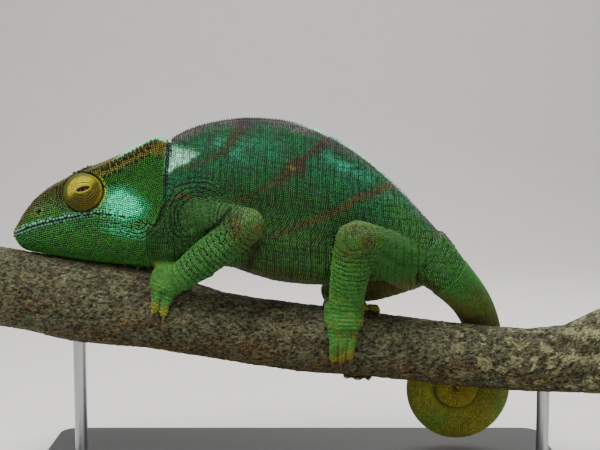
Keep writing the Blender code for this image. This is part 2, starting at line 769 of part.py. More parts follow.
def main():
    clear_scene()
    build_stand()
    perch("perch_branch")
    head, jaw = build_head()
    neck = clip(clip(torso("neck"), NECK_PLANE, 1), SHOULDER_PLANE, -1)
    trunk = clip(clip(torso("trunk"), SHOULDER_PLANE, 1), TAIL_PLANE, -1)
    build_tail()
    for word, joints in ARM.items():
        names = (f"upper_arm_{word}", f"forearm_{word}")
        sizes = (UPPER_ARM_SIZES, FOREARM_SIZES)
        upper, lower, wrist = build_limb(names, joints.values(), sizes, trunk)
        room = build_foot(f"forefoot_{word}", wrist)
        combine(lower, perch("perch room", GAP), "DIFFERENCE")
        for lump in room:
            for piece in (head, jaw, neck):
                combine(piece, grown(lump, 0), "DIFFERENCE")
        drop(*room)
    for word, joints in LEG.items():
        names = (f"thigh_{word}", f"shin_{word}")
        sizes = (THIGH_SIZES, SHIN_SIZES)
        upper, lower, ankle = build_limb(names, joints.values(), sizes, trunk)
        keep_clear(upper, bpy.data.objects["tail_base"])
        clip(upper, (Vector((0, 0, 0)), SIDE), SIDES[word])
        drop(*build_foot(f"hindfoot_{word}", ankle))
        combine(lower, perch("perch room", GAP), "DIFFERENCE")
    for piece in (head, jaw, neck):
        combine(piece, perch("perch room", GAP), "DIFFERENCE")


main()
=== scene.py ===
"""Skin, scales, eyes, claws, perch and stand of a life-size Parson's chameleon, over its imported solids.

+X runs from the snout to the tail, the animal's left side faces -Y and +Z is up. Lengths in the settings
are in metres, and the functions work in millimetres.
"""

import math

import bmesh
import bpy
import numpy as np
from mathutils import Matrix, Vector, noise
from mathutils.bvhtree import BVHTree
from mathutils.kdtree import KDTree


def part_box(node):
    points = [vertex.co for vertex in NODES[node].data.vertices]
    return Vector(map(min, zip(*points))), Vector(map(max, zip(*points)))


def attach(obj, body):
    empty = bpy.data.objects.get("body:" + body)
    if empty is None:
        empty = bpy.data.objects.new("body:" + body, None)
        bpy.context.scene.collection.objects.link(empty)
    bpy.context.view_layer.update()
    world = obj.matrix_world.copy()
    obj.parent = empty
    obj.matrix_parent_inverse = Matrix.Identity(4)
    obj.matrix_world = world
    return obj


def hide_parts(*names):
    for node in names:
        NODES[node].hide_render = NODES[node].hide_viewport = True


bl_info = {
    "name": "Chameleon on a perch",
    "version": (1, 0, 0),
    "blender": (4, 5, 0),
    "location": "3D View > Sidebar > Chameleon",
    "description": "Dresses the solids of a chameleon with one skin, its scales, eyes, claws, bark and stand",
    "category": "Object",
}

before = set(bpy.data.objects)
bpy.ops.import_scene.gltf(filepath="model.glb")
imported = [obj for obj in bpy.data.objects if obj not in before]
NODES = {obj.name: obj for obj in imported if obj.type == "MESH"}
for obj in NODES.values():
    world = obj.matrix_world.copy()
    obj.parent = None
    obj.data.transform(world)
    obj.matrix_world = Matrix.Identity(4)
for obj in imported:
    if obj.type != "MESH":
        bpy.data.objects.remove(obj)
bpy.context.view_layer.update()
BODY = "root"
MM = 0.001

TOES = [name for name in NODES if name.startswith("claw_")]
EYES = ["eye_turret_left", "eye_turret_right", "eye_left", "eye_right"]
FLESH = [name for name in NODES if name not in TOES + EYES and not name.startswith(("stand_", "perch_"))]

# Landmarks in millimetres, as in the solids
HEAD_ROLL, HEAD_ROLL_HEIGHT = math.radians(6.0), 160.0
MOUTH_LINE = np.array(
    [
        (-178, 154.6), (-176, 156), (-166, 161), (-157, 164),
        (-142, 168), (-124, 171.6), (-109, 170.4), (-97, 167),
    ]
)
EYE_PLACE = np.array((-131.2, 10.6, 183.2))
TURRET_RADIUS = 11.8
EYEBALL_RADIUS = 5.95
GAZE_UP, GAZE_BACK, SLIT_TILT = math.radians(19), math.radians(8.5), math.radians(17)
NOSTRIL = np.array((-159.4, 170.6))
SHOULDERS = {"left": np.array((-61.0, -19, 168)), "right": np.array((-63.0, 19, 166))}
ARMPITS = {"left": np.array((-55.0, -19, 156)), "right": np.array((-57.0, 19, 150))}
# The two elbows, then the two knees
BENDS = [np.array(p) for p in ((-29.5, -38, 165.0), (-63.0, 37, 131), (32.5, -35.5, 156.5), (24.5, 41, 114))]
ARM_CREASE = np.array([(-58.5, 157), (-50, 163), (-41, 173.5)])  # where forearm and upper arm fold together
# Lengths of limb with slack folds round them: start, end and distance between folds
LIMB_FOLDS = [
    ((-60.0, -27, 168.0), (-36.0, -37, 166.0), 3.0),
    ((-29.5, -38, 165.0), (-70.5, -24, 132.5), 3.7),
    ((32.5, -35.5, 156.5), (28.5, -20.5, 116.5), 3.1),
    ((-73.0, -25, 130.0), (-83.0, -30, 108.0), 2.3),
    ((28.5, -22, 120.0), (26.5, -27, 96.0), 2.3),
    ((-63.0, 37, 131.0), (-91.0, 36, 125.0), 3.4),
    ((24.5, 41, 114.0), (42.0, 35, 85.0), 3.2),
]
# The tail's way down to its coil: place and half its height and width
TAIL_DROP = [
    (76.5, 0, 142.5, 19.0, 14.0),
    (84, 0.5, 136.5, 16.8, 13.2),
    (94, 2, 127, 14.2, 12.2),
    (103, 6, 117.5, 12.8, 11.3),
    (110, 13, 108, 12.2, 10.8),
    (116.5, 26, 96, 11.8, 10.4),
    (122, 31.5, 81, 11.0, 9.8),
    (128, 31.8, 65, 10.0, 9.3),
]
TAIL_CUT = 23.0  # length along the tail where its own rings take over from the body
COIL_CENTRE = np.array((101.5, 31.5, 52))
# The coil: turn in degrees, distance from its centre, half its height and width, and how far it stands out
COIL = [
    (0, 25.9, 10.05, 9.2, 0),
    (90, 24.9, 10.5, 9.0, 0),
    (180, 22.7, 8.75, 8.2, 0),
    (230, 20.9, 8.2, 7.8, 0.1),
    (270, 18.6, 7.4, 7.2, 0.4),
    (300, 14.6, 6.8, 6.8, 0.9),
    (337, 10.3, 6.0, 6.2, 1.7),
    (360, 9.7, 5.9, 5.8, 2.3),
    (450, 8.9, 5.3, 5.2, 3.4),
    (540, 8.95, 4.5, 4.4, 3.6),
    (580, 7.9, 4.1, 4.1, 3.5),
    (605, 6.5, 3.8, 3.7, 3.4),
    (632, 4.5, 3.2, 3.1, 3.2),
    (652, 2.3, 2.75, 2.9, 3.1),
    (672, 0.5, 2.85, 2.9, 3.0),
    (690, -0.8, 2.75, 2.8, 3.0),
]
# The slot between the coil's turns: turn in degrees and distance from its centre
COIL_SLOT = np.array([(0, 15.7), (90, 14.3), (180, 13.7), (230, 12.0), (300, 11.0), (360, 15.7)])
# The branch: place along it, height of its middle and radius
PERCH_STATIONS = np.array(
    [
        (-192, 123.3, 24.3),
        (-160, 117.6, 24.8),
        (-135, 112.4, 25.6),
        (-104, 109.9, 24.9),
        (-80, 105.2, 23.8),
        (-56, 98.9, 21.4),
        (0, 90.0, 21.2),
        (50, 84.9, 19.9),
        (114, 77.5, 19.6),
        (152, 75.6, 19.8),
        (174, 77.4, 22.0),
        (192, 82.0, 27.5),
    ]
)
PERCH_HALF_LENGTH, PERCH_RINGS = 190.0, 17
# Between two toes of one bundle: X at the palm and at the tips, turn round the perch at the palm and the tips
TOE_GAPS = [
    (-80.9, -85.3, -36, -81),
    (-81.6, -80.5, -36, 38),
    (-77.4, -73.5, -36, 38),
    (-100.1, -109.8, 70, 155),
    (-102.8, -103.8, 70, -6),
    (-98.7, -96.3, 70, -7),
    (23.9, 22.6, -40, -109),
    (29.5, 27.8, -40, -106),
    (26.1, 20.3, -40, 44),
    (36.7, 33.0, 97, 174),
    (42.3, 40.0, 97, 174),
    (39.5, 43.5, 97, -6),
]
# The middle of the back from neck to tail, as the colours and as the cones take it: X and Z
BACK_LINE = np.array(
    [
        (-90, 206), (-67, 220), (-44, 225.5), (-30, 226.6), (-14, 225.6), (2, 222), (17, 216),
        (32, 208), (48, 197), (62, 184), (76, 168), (88, 155), (100, 142),
    ]
)
CONE_LINE = np.array(
    [
        (-84.5, 211), (-76, 216), (-67, 220.5), (-57, 223.5), (-44, 226), (-30, 227), (-14, 226), (2, 222.6),
        (17, 216.3), (32, 208), (47.6, 196), (61.4, 183), (75.3, 167.6), (87.4, 155), (96, 146),
    ]
)
# The rear edge of the casque: Z and X
CASQUE_REAR = np.array(
    [
        (130, -92), (150, -94), (160, -93), (163.5, -89), (170, -86),
        (177, -83.4), (185, -83.6), (197, -83.2), (209, -81.6), (216, -82.2),
    ]
)
MOST_TRIANGLES = 195000  # in one piece of the scales


# Settings


def length_setting(name, description, default):
    return bpy.props.FloatProperty(name=name, description=description, default=default, unit="LENGTH")


def colour_setting(name, description, default):
    return bpy.props.FloatVectorProperty(
        name=name, description=description, default=default, subtype="COLOR_GAMMA"
    )


class SkinSettings(bpy.types.PropertyGroup):
    detail: length_setting("Detail", "Size of the skin's facets", 0.00118)
    coat_depth: length_setting("Coat depth", "How far the skin lies inside the solids", 0.00035)
    fold_depth: length_setting("Fold depth", "Depth of the deepest skin folds", 0.0012)
    gap_shade: bpy.props.FloatProperty(
        name="Gap shade",
        description="How bright the skin is between the scales, as a share of its own colour",
        default=0.07,
        min=0,
        max=1,
        subtype="FACTOR",
    )


class ScaleSettings(bpy.types.PropertyGroup):
    row: length_setting("Row spacing", "Distance between rows of scales on the trunk", 0.0013)
    pitch: length_setting("Pitch", "Distance between scales along a row", 0.00118)
    height: length_setting("Height", "How far a scale stands out of the skin", 0.00042)
    cone: length_setting("Crest cone", "Height of the cones along the back", 0.0013)


class ColourSettings(bpy.types.PropertyGroup):
    back: colour_setting("Back", "Upper flank", (0.09, 0.375, 0.205))
    flank: colour_setting("Flank", "Middle of the flank", (0.11, 0.31, 0.075))
    belly: colour_setting("Belly", "Lower flank and belly", (0.22, 0.385, 0.145))
    # pale colour of the pale scales of crest points, cones, lips and elbows, and painted light: the sunlit
    # patch behind the head and the glint above the lip
    nape: colour_setting("Nape", "Pale patch behind the head", (0.66, 0.98, 0.82))
    stripe: colour_setting("Stripes", "Oblique stripes", (0.27, 0.20, 0.075))
    ridge: colour_setting("Ridge", "Top of the back", (0.33, 0.30, 0.30))
    jaw: colour_setting("Jaw", "Cheek and jaw", (0.185, 0.43, 0.13))
    head: colour_setting("Head", "Temple", (0.125, 0.40, 0.075))
    # painted highlight: the pale shine of light on the temple, below the mouth and on the flank
    sheen: colour_setting("Cheek", "Pale patches on the cheek and lips", (0.24, 0.92, 0.68))
    snout: colour_setting("Snout", "Snout and brow", (0.33, 0.38, 0.16))
    crest: colour_setting("Crest", "Ground of the crest band", (0.42, 0.42, 0.15))
    crest_spot: colour_setting("Crest spots", "Dark scales of the crest", (0.19, 0.12, 0.08))
    limb: colour_setting("Limbs", "Arms and legs", (0.235, 0.45, 0.16))
    joint: colour_setting("Elbow and knee", "Brown of the elbow and knee", (0.36, 0.31, 0.12))
    toe: colour_setting("Toes", "Toe tips", (0.54, 0.50, 0.13))
    tail: colour_setting("Tail", "Coil of the tail", (0.42, 0.41, 0.10))
    lid: colour_setting("Eyelid", "Bright part of the lids", (0.80, 0.74, 0.16))
    lid_shade: colour_setting("Eyelid edge", "Dull part of the lids", (0.36, 0.36, 0.09))
    claw: colour_setting("Claws", "Horn of the claws", (0.42, 0.34, 0.25))


class PerchSettings(bpy.types.PropertyGroup):
    relief: length_setting("Relief", "Depth of the bark's cracks", 0.0011)
    bark: colour_setting("Bark", "Grey of the bark", (0.30, 0.28, 0.19))
    lichen: colour_setting("Lichen", "Pale patches", (0.43, 0.42, 0.30))
    speck: colour_setting("Specks", "Dark brown specks", (0.11, 0.09, 0.055))
    wood: colour_setting("Cut wood", "The sawn ends", (0.50, 0.39, 0.24))


class StageSettings(bpy.types.PropertyGroup):
    floor: colour_setting("Floor", "Floor and background", (0.88, 0.87, 0.85))
    key_power: bpy.props.FloatProperty(
        name="Key light", description="Power of the large light overhead", default=13.0, unit="POWER"
    )
    distance: length_setting("Camera distance", "Distance from the camera to the middle of the part", 0.723)
    elevation: bpy.props.FloatProperty(
        name="Camera elevation",
        description="How far the camera looks down",
        default=math.radians(6),
        unit="ROTATION",
    )


def settings(name):
    return getattr(bpy.context.scene, "chameleon_" + name)


def in_mm(group, name):
    return getattr(settings(group), name) / MM


def linear(colour):
    """A display colour as linear light."""
    c = np.array(colour[:3], float)
    return np.where(c <= 0.04045, c / 12.92, ((c + 0.055) / 1.055) ** 2.4)


def tint(name, *factors):
    """A colour of the settings in linear light, times one factor or one each for red, green and blue."""
    group = "perch" if name in PerchSettings.__annotations__ else "colours"
    colour = linear(getattr(settings(group), name))
    return colour * np.array(factors) if factors else colour


# Pieces and meshes


def deselect():
    bpy.ops.object.select_all(action="DESELECT")


def pick(obj):
    deselect()
    obj.select_set(True)
    bpy.context.view_layer.objects.active = obj


def apply_all(obj):
    pick(obj)
    for modifier in list(obj.modifiers):
        bpy.ops.object.modifier_apply(modifier=modifier.name)


def finish_piece(obj, slot, *nodes):
    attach(obj, BODY)
    if nodes:
        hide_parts(*nodes)
    deselect()


def new_object(name, mesh, material=None):
    obj = bpy.data.objects.new(name, mesh)
    bpy.context.scene.collection.objects.link(obj)
    if material:
        mesh.materials.append(material)
    return obj


def smooth(mesh):
    mesh.polygons.foreach_set("use_smooth", np.ones(len(mesh.polygons), bool))


def mesh_from(name, points, faces, sides):
    """A mesh from arrays of points in millimetres and of faces with the same number of sides."""
    mesh = bpy.data.meshes.new(name)
    points, faces = np.asarray(points, float), np.asarray(faces, np.int32).reshape(-1, sides)
    mesh.vertices.add(len(points))
    mesh.vertices.foreach_set("co", (points * MM).astype(np.float32).ravel())
    mesh.loops.add(faces.size)
    mesh.loops.foreach_set("vertex_index", faces.ravel())
    mesh.polygons.add(len(faces))
    mesh.polygons.foreach_set("loop_start", np.arange(0, faces.size, sides, dtype=np.int32))
    mesh.update(calc_edges=True)
    smooth(mesh)
    return mesh


def tube_faces(count, sides):
    """Triangles between rings of points, one ring after another."""
    i = np.arange(sides)
    j = (i + 1) % sides
    faces = []
    for first in np.arange(count - 1) * sides:
        a, b, c, d = first + i, first + j, first + sides + j, first + sides + i
        faces += [np.stack([a, b, c], 1), np.stack([a, c, d], 1)]
    return np.concatenate(faces)


def fan_faces(first, sides, middle):
    """Triangles from a ring of points to the point in its middle."""
    i = np.arange(sides)
    return np.stack([np.full(sides, middle), first + (i + 1) % sides, first + i], 1)


def values_of(items, name, width, kind):
    """One property of all of a mesh's items, as an array of that width."""
    out = np.empty(len(items) * width, kind)
    items.foreach_get(name, out)
    return out.reshape(-1, width)


def points_of(mesh):
    return values_of(mesh.vertices, "co", 3, np.float32).astype(float) / MM


def put_points(mesh, points):
    mesh.vertices.foreach_set("co", (points * MM).astype(np.float32).ravel())
    mesh.update()


def normals_of(mesh):
    return values_of(mesh.vertex_normals, "vector", 3, np.float32).astype(float)


def triangles_of(mesh):
    mesh.calc_loop_triangles()
    return values_of(mesh.loop_triangles, "vertices", 3, np.int32)


def paint(mesh, colours):
    """Gives each point of a mesh its colour, which the materials read."""
    layer = mesh.color_attributes.new("markings", "FLOAT_COLOR", "POINT")
    rgba = np.ones((len(colours), 4), np.float32)
    rgba[:, :3] = np.clip(colours, 0, 1)
    layer.data.foreach_set("color", rgba.ravel())


def relax(mesh, rounds, weight=1.0):
    """Smooths a mesh without shrinking it. weight says how much each point may move."""
    points, edges = points_of(mesh), values_of(mesh.edges, "vertices", 2, np.int32)
    count = np.bincount(edges.ravel(), minlength=len(points)).astype(float)[:, None]
    weight = np.broadcast_to(weight, len(points))
    a, b = edges[:, 0], edges[:, 1]
    for i in range(rounds * 2):
        total = np.empty_like(points)
        for k in range(3):
            total[:, k] = np.bincount(a, points[b, k], len(points))
            total[:, k] += np.bincount(b, points[a, k], len(points))
        pull = 0.55 if i % 2 == 0 else -0.562
        points += (total / count - points) * (pull * weight)[:, None]
    put_points(mesh, points)


def joined_mesh(name, nodes, grow=0.0):
    """One mesh of several nodes' solids, each with its points merged and moved outwards by grow metres."""
    whole = bmesh.new()
    for node in nodes:
        shape = bmesh.new()
        shape.from_mesh(NODES[node].data)
        bmesh.ops.remove_doubles(shape, verts=shape.verts, dist=1e-6)
        bmesh.ops.recalc_face_normals(shape, faces=shape.faces)
        for vert in shape.verts:
            vert.co += vert.normal * grow
        part = bpy.data.meshes.new(node)
        shape.to_mesh(part)
        shape.free()
        whole.from_mesh(part)
        bpy.data.meshes.remove(part)
    mesh = bpy.data.meshes.new(name)
    whole.to_mesh(mesh)
    whole.free()
    return mesh


# Places and shares


def step(low, high, value):
    """0 below low and 1 above high, softly between them, and the other way round where low is higher."""
    t = np.clip((value - low) / (high - low), 0, 1)
    return t * t * (3 - 2 * t)


def fade(low, high, value):
    """1 below low and 0 above high."""
    return 1 - step(low, high, value)


def band(value, start, full, last, end):
    """1 from full to last, and 0 before start and after end."""
    return step(start, full, value) * fade(last, end, value)


def bump(off, width):
    """1 where off is 0, and next to 0 past twice the width."""
    return np.exp(-((off / width) ** 2))


def spot(across, up, width, height):
    """1 in the middle of an oval spot, and next to 0 past twice its sizes."""
    return np.exp(-((across / width) ** 2) - (up / height) ** 2)


def blend(a, b, share):
    return a + (b - a) * share[..., None]


def unit(vectors):
    return vectors / np.maximum(np.linalg.norm(vectors, axis=-1, keepdims=True), 1e-12)


def lengths_of(vectors):
    return np.linalg.norm(vectors, axis=1)


def turns(sides):
    """Angles evenly round a ring."""
    return 2 * np.pi * np.arange(sides) / sides


def steps_of(line):
    """Distances from one corner of a line to the next."""
    return lengths_of(np.diff(line, axis=0))


def joined(*arrays):
    return np.concatenate(arrays)


def running(steps):
    return joined([0], np.cumsum(steps))


def on_line(line, at):
    """The second number of a table of pairs where the first is at."""
    return np.interp(at, line[:, 0], line[:, 1])


def columns_at(at, gone, table):
    return np.stack([np.interp(at, gone, table[:, k]) for k in range(table.shape[1])], 1)


def cloud(points, size, seed=0.0, octaves=3):
    """Soft random values from about -1 to 1 that change over a distance of size millimetres."""
    shift = Vector((seed * 13.7, seed * 7.1, seed * 3.3))
    return np.array([noise.fractal(Vector(p) / size + shift, 1.0, 2.0, octaves) for p in points])


def distance_to_line(points, line):
    """Distance from points to a line of corners, and how far along it the nearest place is, from 0 to 1."""
    best, along = np.full(len(points), 1e9), np.zeros(len(points))
    lengths = steps_of(line)
    starts = running(lengths)
    for a, b, start, length in zip(line[:-1], line[1:], starts, lengths):
        t = np.clip(((points - a) @ (b - a)) / length**2, 0, 1)
        d = lengths_of(points - (a + t[:, None] * (b - a)))
        nearer = d < best
        best[nearer], along[nearer] = d[nearer], (start + t[nearer] * length) / starts[-1]
    return best, along


class Profile:
    """A smooth curve through stations. The first number of each says where, the rest are the sizes there."""

    def __init__(self, stations):
        table = np.array(stations, float)
        self.where, self.sizes = table[:, 0], table[:, 1:]
        self.slopes = np.gradient(self.sizes, self.where, axis=0)

    def __call__(self, at):
        at = np.atleast_1d(at)
        i = np.clip(np.searchsorted(self.where, at) - 1, 0, len(self.where) - 2)
        span = (self.where[i + 1] - self.where[i])[:, None]
        t = np.clip((at - self.where[i])[:, None] / span, 0, 1)
        return (
            (1 + 2 * t) * (1 - t) ** 2 * self.sizes[i]
            + t * (1 - t) ** 2 * span * self.slopes[i]
            + t * t * (3 - 2 * t) * self.sizes[i + 1]
            + t * t * (t - 1) * span * self.slopes[i + 1]
        )


class Near:
    """How far points are from the solids whose names start with one of the words, up to a reach."""

    made = {}

    def __init__(self, *words):
        if words not in Near.made:
            points, faces, owners, names = [], [], [], []
            for name in FLESH:
                if name.startswith(words):
                    mesh = NODES[name].data
                    faces.append(triangles_of(mesh) + sum(len(p) for p in points))
                    points.append(points_of(mesh))
                    owners += [len(names)] * len(faces[-1])
                    names.append(name)
            tree = BVHTree.FromPolygons(np.concatenate(points).tolist(), np.concatenate(faces).tolist())
            Near.made[words] = (tree, owners, names)
        self.tree, self.owners, self.names = Near.made[words]

    def distance(self, points, reach=6.0):
        found = [self.tree.find_nearest(p, reach)[3] for p in points.tolist()]
        return np.array([reach if d is None else d for d in found])

    def owner(self, points):
        names = np.array(self.names)
        return names[[self.owners[self.tree.find_nearest(p)[2]] for p in points.tolist()]]


def branch_at(x):
    """Height of the branch's middle and its radius at a place along it."""
    knots = np.linspace(-PERCH_HALF_LENGTH, PERCH_HALF_LENGTH, PERCH_RINGS)
    sizes = Profile(PERCH_STATIONS)(knots)
    return np.interp(x, knots, sizes[:, 0]), np.interp(x, knots, sizes[:, 1])


def foot_share(points):
    """1 on the feet, falling to 0 up the limb."""
    return fade(0.5, 6, Near("forefoot", "hindfoot").distance(points))


def limb_share(points):
    """1 on the arms and legs, falling to 0 on the trunk beside them."""
    near = Near("upper_arm", "forearm", "thigh", "shin", "forefoot", "hindfoot")
    return fade(0.8, 4.5, near.distance(points))


def toe_gaps(points):
    """1 in the grooves between the toes of a bundle, and 0 away from them."""
    turn = np.degrees(np.arctan2(points[:, 1], points[:, 2] - on_line(PERCH_STATIONS, points[:, 0])))
    groove = np.zeros(len(points))
    for palm_x, tip_x, palm_turn, tip_turn in TOE_GAPS:
        share = (turn - palm_turn) / (tip_turn - palm_turn)
        off = points[:, 0] - palm_x - (tip_x - palm_x) * share
        line = bump(off, 0.7) * step(0.42, 0.68, share) * fade(1.02, 1.12, share)
        groove = np.maximum(groove, line)
    return groove * foot_share(points)


def toe_share(points):
    """1 at the tips of the toes."""
    tips = np.array([np.array(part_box(name)[0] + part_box(name)[1]) / 2 / MM for name in TOES])
    nearest = np.full(len(points), 1e9)
    for tip in tips:
        nearest = np.minimum(nearest, lengths_of(points - tip))
    return fade(3.5, 13, nearest)


# Places on the head


def rolled(points, angle):
    c, s = math.cos(angle), math.sin(angle)
    y, z = points[..., 1], points[..., 2] - HEAD_ROLL_HEIGHT
    return np.stack([points[..., 0], c * y - s * z, s * y + c * z + HEAD_ROLL_HEIGHT], -1)


def level_head(points):
    """Points in the head's own upright place, before it is rolled to the left."""
    return rolled(points, -HEAD_ROLL)


def roll_head(points):
    return rolled(points, HEAD_ROLL)


def roll_way(vectors):
    """Directions turned with the head."""
    return roll_head(vectors + np.array((0, 0, HEAD_ROLL_HEIGHT))) - np.array((0, 0, HEAD_ROLL_HEIGHT))


# The edge of the head's crest: X, its height and half the distance between its two sides
CREST = [
    (-177.0, 157.0, 1.6),
    (-171.0, 166.8, 5.2),
    (-164.5, 175.7, 6.2),
    (-157.0, 182.4, 6.8),
    (-150.0, 186.4, 7.8),
    (-142.0, 190.6, 9.6),
    (-134.0, 194.6, 11.0),
    (-126.0, 197.1, 11.4),
    (-117.0, 200.7, 11.2),
    (-108.0, 205.1, 10.8),
    (-100.0, 209.2, 10.0),
    (-93.0, 212.6, 8.6),
    (-87.5, 214.8, 6.8),
    (-84.0, 214.4, 5.2),
    (-78.0, 209.0, 4.4),
]
crest_at = Profile(CREST)


def crest_share(points):
    """1 along the edge of the head's crest and the snout's ridge, and 0 away from it."""
    level = level_head(points)
    line = crest_at(level[:, 0])
    d = np.hypot(np.abs(level[:, 1]) - line[:, 1], level[:, 2] - line[:, 0])
    return fade(1.5, 5, d) * (points[:, 0] < -80) * (points[:, 0] > -172)


def below_crest(level):
    return crest_at(level[:, 0])[:, 0] - level[:, 2]


def head_share(points):
    """Below 0 behind the casque's rear edge and above 0 on the head, in millimetres."""
    level = level_head(points)
    return on_line(CASQUE_REAR, level[:, 2]) - level[:, 0]


def around_eye(level):
    """How far points of the head are from the nearer eye's ball, and how much they lie in front or above."""
    away = np.stack([level[:, 0], np.abs(level[:, 1]), level[:, 2]], 1) - EYE_PLACE
    turn = np.degrees(np.arctan2(away[:, 2], away[:, 0]))
    return lengths_of(away) - TURRET_RADIUS, step(60, 95, turn) + step(-120, -165, turn)


def from_mouth(level):
    """Distance from the line of the mouth, seen from the side."""
    return distance_to_line(level[:, [0, 2]], MOUTH_LINE)[0]


def from_nostril(level):
    return np.hypot(level[:, 0] - NOSTRIL[0], level[:, 2] - NOSTRIL[1])


# Tail


def tail_line():
    """The tail's centre line at small steps: lengths along it, then places with half heights and widths."""
    drop, coil = Profile([(i, *s) for i, s in enumerate(TAIL_DROP)]), Profile(COIL)
    stations = drop(np.linspace(0, len(TAIL_DROP) - 1, 120))
    degrees = np.linspace(0, COIL[-1][0], 900)[1:]
    sizes, angle = coil(degrees), np.radians(degrees)
    ring = COIL_CENTRE + np.stack([np.cos(angle), 0 * angle, -np.sin(angle)], 1) * sizes[:, :1]
    ring[:, 1] -= sizes[:, 3]
    stations = joined(stations, np.concatenate([ring, sizes[:, 1:3]], 1))
    return running(steps_of(stations[:, :3])), stations


TAIL_GONE, TAIL_STATIONS = tail_line()
TAIL_END = TAIL_GONE[-1]


def tail_frame(at):
    """Place, tangent, side, up and half sizes of the tail at lengths along it."""
    table = columns_at(at, TAIL_GONE, TAIL_STATIONS)
    before = columns_at(at - 1.5, TAIL_GONE, TAIL_STATIONS[:, :3])
    after = columns_at(at + 1.5, TAIL_GONE, TAIL_STATIONS[:, :3])
    along = unit(after - before)
    up = unit(np.cross(along, np.array((0, 1.0, 0))))
    out = np.cross(up, along)
    return table[:, :3], along, out, up, table[:, 3], table[:, 4]


def tail_ring(at, sides, lift):
    """A ring of points round the tail at one length, the directions straight out there, and its tangents."""
    place, along, out, up, tall, wide = tail_frame(np.full(sides, at))
    c, s = np.cos(turns(sides))[:, None], np.sin(turns(sides))[:, None]
    point = place + out * c * (wide[:, None] + lift) + up * s * (tall[:, None] + lift)
    normal = unit(out * c / wide[:, None] + up * s / tall[:, None])
    return point, normal, along


def tail_cut():
    """Place and direction of the cut where the tail's own rings begin."""
    place, along, *_ = tail_frame(np.array([TAIL_CUT]))
    return place[0], along[0]


def tail_rings(depth):
    """Rings of points of the tail's skin, from the cut to its tip."""
    apart, sides = 1.15, 60
    at = [TAIL_CUT + 1.2]
    while at[-1] < TAIL_END - 0.4:
        at.append(at[-1] + apart)
    at[-1] = TAIL_END
    rings = [tail_ring(length, sides, -depth)[0] for length in at]
    last = rings[-1]
    place, along, *_, tall, wide = tail_frame(np.array([TAIL_END]))
    for lift in np.radians((25, 48, 68, 84)):
        reach = along[0] * (tall[0] + wide[0]) / 2 * math.sin(lift)
        rings.append(place[0] + reach + (last - place[0]) * math.cos(lift))
    return rings


def coil_slot(points):
    """Where points of the coil lie from its centre, how far that is, and how far from the slot it is."""
    away = (points - COIL_CENTRE)[:, [0, 2]]
    reach = lengths_of(away)
    angle = np.degrees(np.arctan2(-away[:, 1], away[:, 0])) % 360
    return away, reach, reach - on_line(COIL_SLOT, angle)


# Skin


def flesh(name, voxel, grow=0.00022):
    """All the flesh down to the tail's base as one closed mesh."""
    nodes = [node for node in FLESH if not node.startswith("tail_") or node == "tail_base"]
    obj = new_object(name, joined_mesh(name, nodes, grow))
    remesh = obj.modifiers.new("one skin", "REMESH")
    remesh.mode = "VOXEL"
    remesh.voxel_size = voxel
    apply_all(obj)
    return obj


def ripples(distance, apart):
    """Waves from 0 to 1 and back over each distance apart, with flat valleys between them."""
    return np.clip(np.cos(2 * np.pi * distance / apart), 0, 1)


def shoulder_wrinkles(points, ripple):
    deep = np.zeros(len(points))
    for shoulder in SHOULDERS.values():
        away = points - shoulder
        r = np.hypot(away[:, 0], away[:, 2])
        turn = np.degrees(np.arctan2(away[:, 2], away[:, 0])) % 360
        beside = (points[:, 1] * shoulder[1] > 0) & (np.abs(points[:, 1]) < 26)
        arc = band(turn, 20, 60, 222, 245) * step(9, 13, r) * fade(20, 28, r)
        deep = np.maximum(deep, ripples(r + 0.06 * away[:, 0] + 1.1 * ripple, 2.9) ** 1.5 * arc * beside)
    return deep


def limb_wrinkles(points, ripple):
    deep = np.zeros(len(points))
    for bend in BENDS:
        away = lengths_of(points - bend)
        ring = fade(11, 17, away) * step(4, 8, away)
        deep = np.maximum(deep, 0.5 * ring * ripples(away + 0.7 * ripple, 2.4))
    for start, end, apart in LIMB_FOLDS:
        start, end = np.array(start), np.array(end)
        way, length = unit(end - start), np.linalg.norm(end - start)
        along = (points - start) @ way
        off = lengths_of(points - start - along[:, None] * way)
        near = band(along, 3, 8, length + 2, length + 7) * fade(13, 16, off)
        deep = np.maximum(deep, ripples(along + 0.9 * ripple, apart) ** 3 * near * 0.95)
    return deep


def wrinkles(points):
    """0 to 1: how deep points lie in the folds of shoulders, limbs, jaw and flank."""
    x, y, z = points.T
    ripple = cloud(points, 10.0, 33.0, 2)
    deep = np.maximum(shoulder_wrinkles(points, ripple), limb_wrinkles(points, ripple))
    d, _ = distance_to_line(points[:, [0, 2]], ARM_CREASE)
    deep = np.maximum(deep, fade(0.4, 1.8, d) * (y < -22))
    level = level_head(points)
    mouth = from_mouth(level)
    jaw = (level[:, 2] < on_line(MOUTH_LINE, level[:, 0])) * band(level[:, 0], -130, -112, -92, -86)
    jaw = jaw * band(mouth, 2.0, 3.2, 9, 15)
    deep = np.maximum(deep, 0.8 * jaw * ripples(mouth + 0.6 * ripple, 2.5) ** 1.5)
    flank = (x > -78) & (x < 78) & (np.abs(y) < 30)
    wave = np.cos(2 * np.pi * (x + 0.08 * z) / 4.6 + 1.5 * np.sin(z / 9) + np.sin(x / 7))
    return np.maximum(deep, 0.4 * np.clip(wave, 0, 1) ** 2 * flank * step(218, 195, z))


